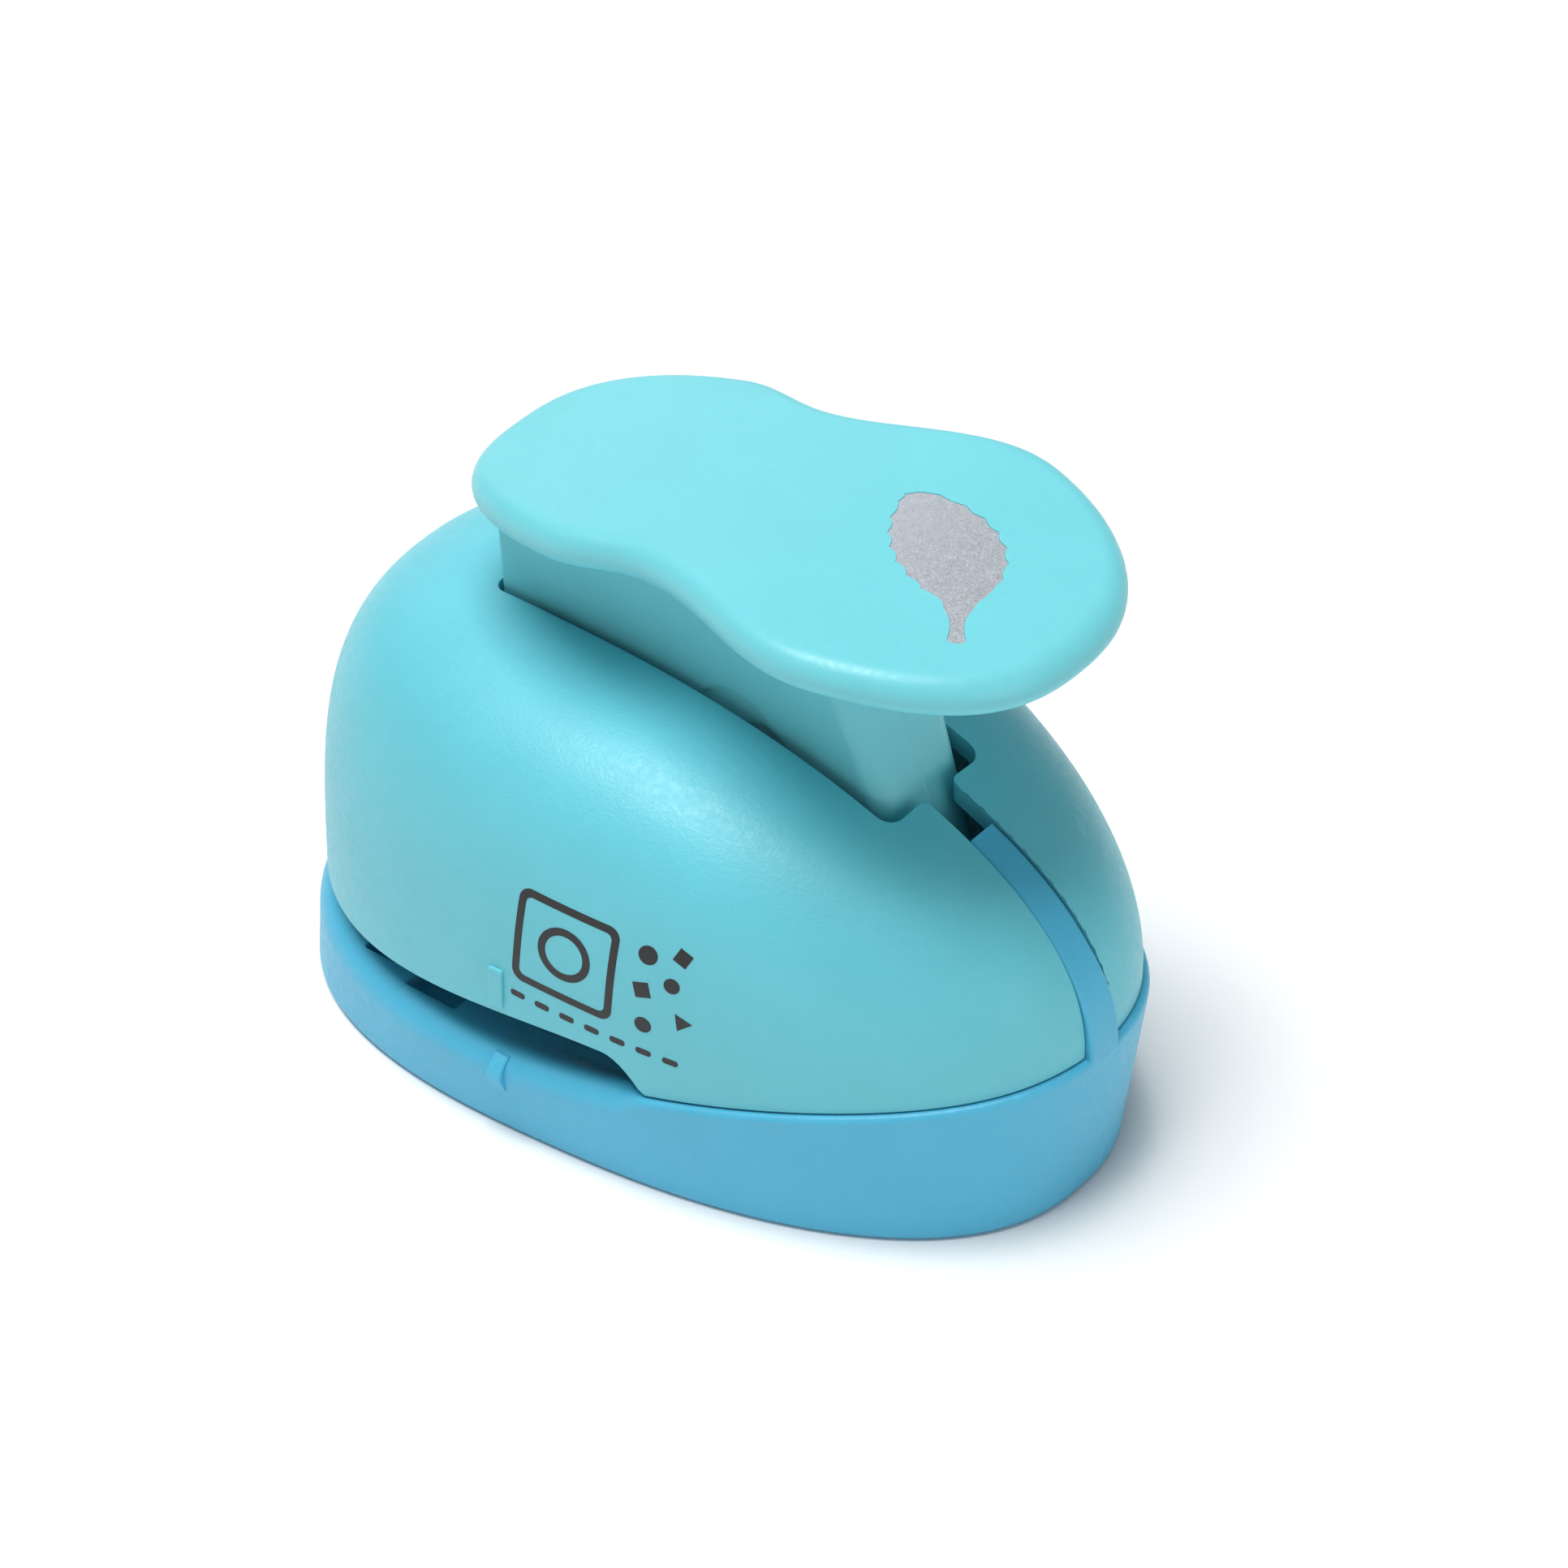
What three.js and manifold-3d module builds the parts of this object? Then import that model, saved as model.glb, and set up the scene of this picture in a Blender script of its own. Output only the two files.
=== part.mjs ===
// Lever-action craft punch: an egg-shaped base and cover with a paper throat round the front,
// a press lever pivoted inside the nose, and a steel die set with a leaf-shaped punch.
// Millimetres. +X points to the rear, where the lever's free end is, +Z up, ground at Z = 0.
import * as THREE from "three";
import { mergeVertices } from "three/addons/utils/BufferGeometryUtils.js";
import Module from "manifold-3d";

const wasm = await Module();
wasm.setup();
const { Manifold, Mesh } = wasm;

// ---- driving dimensions ----
const CASE = { halfLength: 42.5, halfWidth: 27.3, taper: 0.15, frontPower: 2.2, rearPower: 2.35 };
const FOOT = { frontPower: 2.62, rearPower: 2.34, front: 1.0, rear: 2.4, side: 1.6 };
const RIM = { front: 9, rear: 18.8, from: -14.4, to: 53.9, frontRound: 2.6, rearRound: 0.8, wall: 3.2 };
const DECK = { top: 9, bottom: 5.2 };
const DOME = { peakX: -14, top: 43.5, frontPower: 4.05, sidePower: 3.74, rearPower: 2.26 };
const SHELL = { inset: 0.7, wall: 2, seamGap: 0.3 };
const THROAT = { highEdge: 15.35, lowEdge: 11.25, from: 4, length: 40, stepFrom: 5, stepTo: 9.3 };
const SLOT = { front: -23.2, rear: 22.6, halfWidth: 6.75, corner: 1.3 };
const CHANNEL = { top: 1.85, bottom: 2.25, from: 20 };
const RIB = { from: 28.1, top: 1.5, bottom: 1.95, thickness: 3.4 };
const PLATE = {
  x: 5.78, z: 61.17, tilt: 6.2, front: 32.4, rear: 32.45, thickness: 4, round: 1.9,
  crownFront: 0.0025, crownRear: 0.0042,
  frontHalf: 15.9, waistHalf: 13.95, rearHalf: 20.2, waistAt: -6.2, frontPower: 2.68, rearPower: 2.44,
};
const WEB = {
  bottom: 30, front: -22.8, rearAt: 20.2, rearZ: 40.8, lean: 0.396, topHalf: 7, draft: 0.072, wall: 1.8,
  frontWall: 2.4,
};
const PIVOT = { x: -19.5, z: 35, pinRadius: 2, barrel: 4, earFrom: 6.5, earTo: 10.5 };
const DIE = { x: -6.5, thickness: 2, front: -22.5, rear: 17, halfWidth: 15, clearance: 0.05 };
const SPACER = { front: 9.4, thickness: 1.1 };
const LEAF = {
  length: 17, halfWidth: 4.75, tipHalf: 0.45, bow: 1.35, teeth: 8, tooth: 0.35, turn: -38.4,
  stem: 4.5, stemBend: -15.7,
};
const STEM_HALVES = [[1.2, 0.75], [2.6, 0.6], [4.1, 0.8], [4.5, 0.45]];
const FOIL = { x: 23.2, y: -0.4, recess: 0.35, thickness: 0.25 };
const PUNCH = { bottom: 10.5, holderBottom: 22.1, holderTop: 26, presserTop: 30.7 };
const POST = { offset: 9, radius: 1.5, top: 28.5 };
const CASE_SCREWS = [[14, 18.3], [14, -18.3], [31, 9], [31, -9]];
const DIE_SCREWS = [[-19.5, 11.5], [-19.5, -11.5], [13.2, 0]];
const RIVETS = [[13.2, 10], [13.2, -10]];
const MARK = { x: -6.4, width: 1.6, proud: 0.3 };
const LAYER_GAP = 0.05;

const stackTop = DECK.top + LAYER_GAP + SPACER.thickness;
const guideBottom = stackTop + LAYER_GAP;
const guideTop = guideBottom + DIE.thickness;

// ---- small helpers ----
const { cos, sin, abs, sign, max, min, pow, hypot, PI } = Math;
const mix = (a, b, t) => a + (b - a) * t;
const smooth = (t) => {
  const u = min(1, max(0, t));
  return u * u * (3 - 2 * u);
};
const range = (n) => [...Array(n).keys()];
const V3 = (x, y, z) => new THREE.Vector3(x, y, z);

// A closed mesh as a solid for cutting and joining, turned so that its faces point out.
function toSolid(geometry) {
  const bare = new THREE.BufferGeometry().setAttribute("position", geometry.getAttribute("position"));
  if (geometry.index) bare.setIndex(geometry.index);
  const merged = mergeVertices(bare, 1e-4);
  const vertProperties = merged.getAttribute("position").array;
  const corners = merged.index.array;
  const kept = [];
  for (let i = 0; i < corners.length; i += 3) {
    const [a, b, c] = corners.slice(i, i + 3);
    if (a !== b && b !== c && c !== a) kept.push([a, b, c]);
  }
  const solidOf = (triangles) =>
    new Manifold(new Mesh({ numProp: 3, vertProperties, triVerts: Uint32Array.from(triangles.flat()) }));
  const solid = solidOf(kept);
  return solid.volume() >= 0 ? solid : solidOf(kept.map(([a, b, c]) => [b, a, c]));
}

function toGeometry(solid) {
  const mesh = solid.getMesh();
  const geometry = new THREE.BufferGeometry();
  geometry.setAttribute("position", new THREE.BufferAttribute(mesh.vertProperties.slice(), 3));
  geometry.setIndex(new THREE.BufferAttribute(mesh.triVerts.slice(), 1));
  geometry.computeVertexNormals();
  return geometry;
}

// A closed skin through rows of points; every row is a closed loop of the same count.
// A ring's last row joins its first; otherwise both end rows are closed by a fan.
function skin(rows, ring = false) {
  const count = rows[0].length;
  const points = rows.flat();
  const index = [];
  const last = ring ? rows.length : rows.length - 1;
  for (let i = 0; i < last; i++)
    for (let j = 0; j < count; j++) {
      const a = i * count + j;
      const b = i * count + ((j + 1) % count);
      const up = ((i + 1) % rows.length) * count;
      index.push(a, b, up + ((j + 1) % count), a, up + ((j + 1) % count), up + j);
    }
  if (!ring)
    [0, rows.length - 1].forEach((row, side) => {
      const hub = points.length;
      points.push(rows[row].reduce((s, p) => s.add(p), V3(0, 0, 0)).divideScalar(count));
      for (let j = 0; j < count; j++) {
        const a = row * count + j;
        const b = row * count + ((j + 1) % count);
        index.push(...(side ? [a, b, hub] : [b, a, hub]));
      }
    });
  const geometry = new THREE.BufferGeometry();
  const coordinates = points.flatMap((p) => p.toArray());
  geometry.setAttribute("position", new THREE.Float32BufferAttribute(coordinates, 3));
  geometry.setIndex(index);
  return toSolid(geometry);
}

function slab(outline, z0, z1, holes = []) {
  const shape = outline instanceof THREE.Shape ? outline : new THREE.Shape(outline);
  shape.holes = holes.map((hole) => new THREE.Path(hole));
  const options = { depth: z1 - z0, bevelEnabled: false, curveSegments: 8 };
  const geometry = new THREE.ExtrudeGeometry(shape, options);
  return toSolid(geometry.translate(0, 0, z0));
}

function box(x0, x1, y0, y1, z0, z1) {
  const geometry = new THREE.BoxGeometry(x1 - x0, y1 - y0, z1 - z0);
  return toSolid(geometry.translate((x0 + x1) / 2, (y0 + y1) / 2, (z0 + z1) / 2));
}

function disc(x, y, z0, z1, radius, sides = 20) {
  const geometry = new THREE.CylinderGeometry(radius, radius, z1 - z0, sides).rotateX(PI / 2);
  return toSolid(geometry.translate(x, y, (z0 + z1) / 2));
}

function crossBar(x, z, y0, y1, radius, sides = 24) {
  const geometry = new THREE.CylinderGeometry(radius, radius, y1 - y0, sides);
  return toSolid(geometry.translate(x, (y0 + y1) / 2, z));
}

function circle(x, y, radius, sides = 20) {
  return range(sides).map((i) => {
    const t = (2 * PI * i) / sides;
    return new THREE.Vector2(x + radius * cos(t), y + radius * sin(t));
  });
}

function roundedRect(x0, x1, y0, y1, radius, steps = 3) {
  const corners = [[x1, y1, 0], [x0, y1, 1], [x0, y0, 2], [x1, y0, 3]];
  return corners.flatMap(([cx, cy, quarter]) => {
    const ox = cx - sign(cx - (x0 + x1) / 2) * radius;
    const oy = cy - sign(cy - (y0 + y1) / 2) * radius;
    return range(steps + 1).map((i) => {
      const t = (quarter + i / steps) * (PI / 2);
      return new THREE.Vector2(ox + radius * cos(t), oy + radius * sin(t));
    });
  });
}

// ---- the case's egg-shaped plan and domed skin ----
// A point of the plan at angle t, moved in by off from the rim's outline.
function eggPoint(t, off, powers = CASE, trim = { front: 0, rear: 0, side: 0 }) {
  const power = cos(t) < 0 ? powers.frontPower : powers.rearPower;
  const u = sign(cos(t)) * pow(abs(cos(t)), 2 / power);
  const v = sign(sin(t)) * pow(abs(sin(t)), 2 / power);
  const end = u < 0 ? trim.front : trim.rear;
  const width = (CASE.halfWidth - off - trim.side) * (1 - CASE.taper * u);
  return new THREE.Vector2((CASE.halfLength - off - end) * u, width * v);
}
const footPoint = (t, off) => eggPoint(t, off, FOOT, FOOT);

const rimHeight = (x) => mix(RIM.front, RIM.rear, smooth((x - RIM.from) / (RIM.to - RIM.from)));

// Height of the cover's lower edge: raised over the paper throat, on the rim behind it.
function coverEdge(x) {
  const seam = rimHeight(x) + SHELL.seamGap;
  const raised = mix(THROAT.highEdge, THROAT.lowEdge, smooth((THROAT.from - x) / THROAT.length));
  const t = (x - THROAT.stepFrom) / (THROAT.stepTo - THROAT.stepFrom);
  return mix(raised, seam, pow(min(1, max(0, t)), 2));
}

// Distance from the dome's axis to the plan's outline in the direction of (x, y).
function domeReach(dx, dy, off) {
  const inside = (r) => {
    const u = (DOME.peakX + r * dx) / (CASE.halfLength - off);
    const width = (CASE.halfWidth - off) * (1 - CASE.taper * u);
    const power = u < 0 ? CASE.frontPower : CASE.rearPower;
    return pow(abs(u), power) + pow(abs((r * dy) / width), power) < 1;
  };
  let low = 0;
  let high = 2 * CASE.halfLength;
  for (const _ of range(40)) {
    const middle = (low + high) / 2;
    if (inside(middle)) low = middle;
    else high = middle;
  }
  return low;
}

// Height of the dome over (x, y); depth moves the surface in by the wall's thickness.
function domeHeight(x, y, depth = 0) {
  const off = SHELL.inset + depth;
  const r = max(1e-6, hypot(x - DOME.peakX, y));
  const dx = (x - DOME.peakX) / r;
  const dy = y / r;
  const reach = domeReach(dx, dy, off);
  const share = dx * dx;
  const power =
    dx < 0
      ? mix(DOME.sidePower, DOME.frontPower, share)
      : mix(DOME.sidePower, DOME.rearPower, share * share);
  const foot = rimHeight(DOME.peakX + reach * dx);
  const rho = min(1, r / reach);
  return foot + (DOME.top - depth - foot) * pow(max(0, 1 - pow(rho, power)), 1 / power);
}

// Plan angles: even steps, with extra stations where the cover's edge steps down.
function stations(count) {
  const even = range(count).map((i) => (2 * PI * i) / count);
  const stepAngles = range(6).map((i) => {
    const x = mix(THROAT.stepFrom, THROAT.stepTo + 0.2, i / 5) / CASE.halfLength;
    return Math.acos(pow(x, CASE.rearPower / 2));
  });
  const extra = stepAngles.flatMap((t) => [t, 2 * PI - t]);
  const clear = even.filter((t) => extra.every((e) => abs(t - e) > 0.02));
  return [...clear, ...extra].sort((a, b) => a - b);
}

// ---- leaf outline, shared by the punch, the plates it passes and the foil ----
// The blade bows to one side of the tip-to-stem line, and the stem bends back the other way.
function leafOutline(grow = 0) {
  const steps = LEAF.teeth * 2;
  const origin = new THREE.Vector2();
  const bend = (LEAF.stemBend * PI) / 180;
  const turn = (LEAF.turn * PI) / 180;
  const blade = (s) =>
    range(steps).map((i) => {
      const t = i / steps;
      const middle = LEAF.bow * pow(sin(PI * pow(t, 1.15)), 0.6);
      const half = max(LEAF.tipHalf, LEAF.halfWidth * pow(sin(PI * pow(t, 1.05)), 0.75));
      return new THREE.Vector2(t * LEAF.length, middle + s * (half + (i % 2 ? LEAF.tooth : 0)));
    });
  const stem = (s) =>
    STEM_HALVES.map(([run, half]) => {
      const point = new THREE.Vector2(run, s * half).rotateAround(origin, bend);
      return point.add(new THREE.Vector2(LEAF.length, 0));
    });
  const flat = [...blade(1), ...stem(1), ...stem(-1).reverse(), ...blade(-1).reverse()];
  const centre = new THREE.Vector2((LEAF.length + LEAF.stem) / 2, 0);
  const grown = flat.map((p, i) => {
    const before = flat[(i + flat.length - 1) % flat.length];
    const after = flat[(i + 1) % flat.length];
    const along = after.clone().sub(before).normalize();
    return new THREE.Vector2(p.x - along.y * grow, p.y + along.x * grow).sub(centre);
  });
  return grown.map((p) => p.rotateAround(origin, turn)).reverse();
}
const leafAt = (x, y, grow) => leafOutline(grow).map((p) => p.add(new THREE.Vector2(x, y)));

// ---- base ----
function baseWall() {
  const rows = stations(56).map((t) => {
    const rim = eggPoint(t, 0);
    const top = rimHeight(rim.x);
    const rear = smooth((rim.x - 7) / 3);
    const round = mix(RIM.frontRound, RIM.rearRound, rear);
    const at = (off, z) => {
      const p = footPoint(t, off).lerp(eggPoint(t, off), z / top);
      return V3(p.x, p.y, z);
    };
    return [
      at(2.4, 0), at(0.6, 0), at(0, 0.6), at(0, top - round), at(0.293 * round, top - 0.293 * round),
      at(round, top), at(mix(5.5, RIM.wall, rear), mix(DECK.top, top, rear)),
      at(mix(5.5, RIM.wall, rear), mix(6.2, 8, rear)), at(2.8, DECK.bottom),
    ];
  });
  return skin(rows, true);
}

function baseDeck() {
  const outline = stations(56).map((t) => {
    const rear = smooth((eggPoint(t, 0).x - 7) / 3);
    return eggPoint(t, mix(4.2, 2.6, rear));
  });
  return slab(outline, DECK.bottom, DECK.top);
}

// The rib that fills the cover's rear channel, following the dome down to the rim.
function rearRib() {
  const end = CASE.halfLength - SHELL.inset;
  const bow = range(13).map((i) => {
    const x = mix(RIB.from, end, sin((i / 12) * (PI / 2)));
    return V3(x, 0, domeHeight(x, 0));
  });
  bow.push(V3(CASE.halfLength - 0.25, 0, rimHeight(end) - 2), V3(CASE.halfLength - 1, 0, DECK.top));
  const rows = bow.map((p, i) => {
    const before = bow[max(0, i - 1)];
    const after = bow[min(bow.length - 1, i + 1)];
    const along = after.clone().sub(before).normalize();
    const inward = V3(along.z, 0, -along.x);
    const half = mix(RIB.top, RIB.bottom, i / (bow.length - 1));
    const outer = p.clone().addScaledVector(inward, i < 12 ? 0.35 : 0);
    const inner = p.clone().addScaledVector(inward, RIB.thickness);
    return [
      outer.clone().setY(half - 0.35), outer.clone().setY(-half + 0.35),
      outer.clone().addScaledVector(inward, 0.35).setY(-half),
      inner.clone().setY(-half), inner.clone().setY(half),
      outer.clone().addScaledVector(inward, 0.35).setY(half),
    ];
  });
  return skin(rows);
}

// The raised alignment marks on both sides, standing out of a wall that is moved in by off.
function markBars(off, z0, z1) {
  const angle = Math.acos(-pow(-MARK.x / CASE.halfLength, CASE.frontPower / 2));
  const wall = eggPoint(angle, off).y;
  return [-1, 1].map((side) => {
    const [low, high] = [side * (wall - 1.2), side * (wall + MARK.proud)].sort((a, b) => a - b);
    return box(MARK.x - MARK.width / 2, MARK.x + MARK.width / 2, low, high, z0, z1);
  });
}

function makeBase() {
  let base = baseWall().add(baseDeck()).add(rearRib());
  const pocket = [
    box(DIE.front - 0.3, DIE.rear + 0.3, -DIE.halfWidth - 0.3, DIE.halfWidth + 0.3,
      DECK.top - DIE.thickness - 0.3, DECK.top + 1),
    box(DIE.x - 11, DIE.x + 11, -11, 11, DECK.bottom - 1, DECK.top),
  ];
  const windows = [[-27, -22.4], [-19.8, -14]].flatMap(([x0, x1]) =>
    [-1, 1].map((side) => {
      const edges = [side * 23.5, side * 19].sort((a, b) => a - b);
      return box(x0, x1, edges[0], edges[1], DECK.bottom - 2, DECK.top + 3);
    }),
  );
  const holes = [
    ...CASE_SCREWS.map(([x, y]) => disc(x, y, DECK.bottom - 1, DECK.top + 1, 1.7)),
    ...DIE_SCREWS.map(([x, y]) => disc(x, y, DECK.bottom - 1, DECK.top, 1.5)),
  ];
  for (const cut of [...pocket, ...windows, ...holes]) base = base.subtract(cut);
  return markBars(0, 6.4, 8.6).reduce((solid, bar) => solid.add(bar), base);
}

// ---- cover ----
// The whole volume under the dome, moved in by depth, with its rim at the given edge height.
function domeVolume(depth, edge) {
  const off = SHELL.inset + depth;
  const angles = stations(48);
  const rings = [1, 0.995, 0.97, 0.92, 0.84, 0.71, 0.5, 0.25];
  const peak = V3(DOME.peakX, 0, 0);
  const rows = [0.6, 1].map((s) =>
    angles.map((t) => {
      const rim = eggPoint(t, off);
      const p = V3(rim.x, rim.y, 0).lerp(peak, 1 - s);
      return p.setZ(edge(rim.x));
    }),
  );
  for (const s of rings)
    rows.push(
      angles.map((t) => {
        const rim = eggPoint(t, off);
        const p = V3(rim.x, rim.y, 0).lerp(peak, 1 - s);
        const z = s === 1 ? rimHeight(rim.x) : domeHeight(p.x, p.y, depth);
        return p.setZ(max(z, edge(rim.x) + 0.1));
      }),
    );
  return skin(rows);
}

function channelCut() {
  const ends = [CHANNEL.from, CASE.halfLength + 3];
  const rows = [[8, CHANNEL.bottom], [60, CHANNEL.top - 0.35]].map(([z, half]) => [
    V3(ends[0], -half, z), V3(ends[1], -half, z), V3(ends[1], half, z), V3(ends[0], half, z),
  ]);
  return skin(rows);
}

function makeCover() {
  const outer = domeVolume(0, coverEdge);
  let cover = outer.subtract(domeVolume(SHELL.wall, () => -5));
  const ears = [-1, 1].map((side) => {
    const y = [side * PIVOT.earFrom, side * PIVOT.earTo].sort((a, b) => a - b);
    return box(PIVOT.x - 4.5, PIVOT.x + 4.5, y[0], y[1], PIVOT.z - 4.5, 60);
  });
  const bosses = CASE_SCREWS.map(([x, y]) => disc(x, y, DECK.top + SHELL.seamGap, 60, 3.2));
  for (const part of [...ears, ...bosses]) cover = cover.add(part.intersect(outer));
  const slot = slab(roundedRect(SLOT.front, SLOT.rear, -SLOT.halfWidth, SLOT.halfWidth, SLOT.corner), 20, 60);
  const pinHole = crossBar(PIVOT.x, PIVOT.z, -PIVOT.earTo + 1, PIVOT.earTo - 1, PIVOT.pinRadius + 0.05);
  const pilots = CASE_SCREWS.map(([x, y]) => disc(x, y, DECK.top - 1, DECK.top + 12, 1.5, 16));
  for (const cut of [slot, channelCut(), pinHole, ...pilots]) cover = cover.subtract(cut);
  return markBars(SHELL.inset, 15.2, 19.6).reduce((solid, bar) => solid.add(bar), cover);
}

// ---- press lever ----
function plateHalfWidth(x) {
  const { frontHalf, waistHalf, rearHalf, waistAt, front, rear } = PLATE;
  return x < waistAt
    ? mix(frontHalf, waistHalf, smooth((x + front / 2) / (waistAt + front / 2)))
    : mix(waistHalf, rearHalf, smooth((x - waistAt) / (rear / 2 - waistAt)));
}

// How far the crowned plate falls away from its middle, by the distance along it.
function plateDrop(along) {
  return (along < 0 ? PLATE.crownFront : PLATE.crownRear) * along * along;
}

// A point of the press plate from its own plane: along, across and up from the middle layer.
function plateToCase(along, across, up) {
  const tilt = (PLATE.tilt * PI) / 180;
  const lift = up - plateDrop(along);
  return V3(
    PLATE.x + along * cos(tilt) - lift * sin(tilt), across,
    PLATE.z + along * sin(tilt) + lift * cos(tilt),
  );
}

// The middle layer's height over a place on the case's X axis.
function plateHeight(x) {
  const tilt = (PLATE.tilt * PI) / 180;
  const along = (x - PLATE.x) / cos(tilt);
  return PLATE.z + along * sin(tilt) - plateDrop(along) * cos(tilt);
}

function plateLoop(off, up, squeeze = 1) {
  const count = 72;
  return range(count).map((i) => {
    const t = (2 * PI * i) / count;
    const power = cos(t) < 0 ? PLATE.frontPower : PLATE.rearPower;
    const u = sign(cos(t)) * pow(abs(cos(t)), 2 / power);
    const v = sign(sin(t)) * pow(abs(sin(t)), 2 / power);
    const along = u * ((u < 0 ? PLATE.front : PLATE.rear) - off);
    return plateToCase(along, v * (plateHalfWidth(along) - off) * squeeze, up);
  });
}

function pressPlate() {
  const half = PLATE.thickness / 2;
  const round = PLATE.round;
  const edge = range(5).map((i) => {
    const t = (i / 4) * PI;
    return [round * (1 - sin(t)), -(half - round) * sign(cos(t)) - round * cos(t)];
  });
  const rows = [
    plateLoop(round, -half, 0), plateLoop(round, -half, 0.5),
    ...edge.map(([off, up]) => plateLoop(off, up)),
    plateLoop(round, half, 0.5), plateLoop(round, half, 0),
  ];
  return skin(rows);
}

function webLoops(inset, bottom, topDrop) {
  return [0, 0.35, 0.7, 1].map((s) => {
    const level = mix(bottom, PLATE.z - 3, s);
    const half = WEB.topHalf - WEB.draft * (PLATE.z - 5 - level) - inset;
    const rear = WEB.rearAt + WEB.lean * (WEB.rearZ - level) - inset;
    const front = WEB.front + (inset > 0 ? WEB.frontWall : 0);
    return roundedRect(front, rear, -half, half, 2.6 - inset * 0.7).map((p) =>
      V3(p.x, p.y, mix(bottom, plateHeight(p.x) - topDrop, s)),
    );
  });
}

// A leaf-shaped layer that follows the plate's crown, from lift above its top face.
function leafLayer(lift, thickness, grow = 0) {
  const column = slab(leafAt(FOIL.x, FOIL.y, grow), 40, 80);
  const along = range(9).map((i) => mix(0, 32, i / 8));
  const half = PLATE.thickness / 2;
  const layer = along.map((a) => [
    plateToCase(a, -14, half + lift), plateToCase(a, 14, half + lift),
    plateToCase(a, 14, half + lift + thickness), plateToCase(a, -14, half + lift + thickness),
  ]);
  return column.intersect(skin(layer));
}

function makeLever() {
  const outerWeb = skin(webLoops(0, WEB.bottom, 0));
  const hollow = skin(webLoops(WEB.wall, WEB.bottom - 4, 4));
  const barrel = crossBar(PIVOT.x, PIVOT.z, -5.2, 5.2, PIVOT.barrel);
  const barrelRib = box(PIVOT.x - 1, PIVOT.x + 1, -5, 5, PIVOT.z, PLATE.z - 8).intersect(outerWeb);
  const nose = crossBar(DIE.x + 0.5, PIVOT.z, -4.2, 4.2, 4);
  const noseRib = box(DIE.x - 1, DIE.x + 2, -5, 5, PIVOT.z, PLATE.z - 4).intersect(outerWeb);
  const bore = crossBar(PIVOT.x, PIVOT.z, -12, 12, PIVOT.pinRadius + 0.1);
  return outerWeb.subtract(hollow).add(pressPlate()).add(barrel).add(barrelRib).add(nose).add(noseRib)
    .subtract(bore).subtract(leafLayer(-FOIL.recess, 2));
}

// ---- die set ----
function plateOutline(front, rear, corner = 2) {
  return roundedRect(front, rear, -DIE.halfWidth, DIE.halfWidth, corner);
}
const postPlaces = [[DIE.x + POST.offset, POST.offset], [DIE.x - POST.offset, -POST.offset]];
const rivetHoles = (radius) => RIVETS.map(([x, y]) => circle(x, y, radius));

function makeDiePlate() {
  const tapped = DIE_SCREWS.map(([x, y]) => disc(x, y, 0, DECK.top - 0.5, 1.3, 16));
  const holes = [leafAt(DIE.x, 0, DIE.clearance), ...rivetHoles(1.6)];
  const plate = slab(plateOutline(DIE.front, DIE.rear), DECK.top - DIE.thickness, DECK.top, holes);
  return tapped.reduce((solid, hole) => solid.subtract(hole), plate);
}

const makeSpacer = () =>
  slab(plateOutline(SPACER.front, DIE.rear, 1), DECK.top + LAYER_GAP, stackTop, rivetHoles(1.6));

function makeGuidePlate() {
  const holes = [leafAt(DIE.x, 0, DIE.clearance), ...rivetHoles(1.6)];
  holes.push(...postPlaces.map(([x, y]) => circle(x, y, POST.radius + 0.05)));
  return slab(plateOutline(DIE.front, DIE.rear), guideBottom, guideTop, holes);
}

const punchScrewPlaces = [DIE.x - 2.8, DIE.x + 2.8];
function makePunch() {
  const blade = slab(leafAt(DIE.x, 0, -DIE.clearance), PUNCH.bottom, PUNCH.holderBottom - 0.1);
  const tapped = punchScrewPlaces.map((x) => disc(x, 0, PUNCH.bottom + 5.5, PUNCH.holderBottom + 1, 1.3, 14));
  return tapped.reduce((solid, hole) => solid.subtract(hole), blade);
}

function makeHolder() {
  const holes = postPlaces.map(([x, y]) => circle(x, y, POST.radius + 0.15));
  const outline = roundedRect(DIE.x - 12.5, DIE.x + 12.5, -12.5, 12.5, 3.5);
  const block = slab(outline, PUNCH.holderBottom, PUNCH.holderTop, holes);
  const presser = slab(roundedRect(DIE.x - 6, DIE.x + 6, -2.8, 2.8, 1), PUNCH.holderTop - 1, PUNCH.presserTop);
  const screwWays = punchScrewPlaces.flatMap((x) => [
    disc(x, 0, PUNCH.holderBottom - 1, PUNCH.presserTop, 1.3, 14),
    disc(x, 0, PUNCH.holderTop + 0.4, PUNCH.presserTop + 1, 2.1, 14),
  ]);
  return screwWays.reduce((solid, hole) => solid.subtract(hole), block.add(presser));
}

function makePost([x, y]) {
  return disc(x, y, guideBottom + 0.1, POST.top, POST.radius);
}

function makePostClip([x, y]) {
  const ring = slab(new THREE.Shape(circle(x, y, 2.7)), PUNCH.holderTop + 0.3, PUNCH.holderTop + 1.1, [
    circle(x, y, POST.radius + 0.05),
  ]);
  return ring.subtract(box(x, x + 4, y - 1, y + 1, 20, 30));
}

function makeSpring([x, y]) {
  const turns = 6;
  const wire = 0.35;
  const coil = 2.5;
  const low = guideTop + wire + 0.15;
  const high = PUNCH.holderBottom - wire - 0.15;
  class Coil extends THREE.Curve {
    getPoint(t) {
      const angle = 2 * PI * turns * t;
      return V3(x + coil * cos(angle), y + coil * sin(angle), mix(low, high, t));
    }
  }
  const section = new THREE.Shape(circle(0, 0, wire, 6));
  const geometry = new THREE.ExtrudeGeometry(section, { steps: turns * 10, extrudePath: new Coil() });
  return toSolid(geometry);
}

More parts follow.
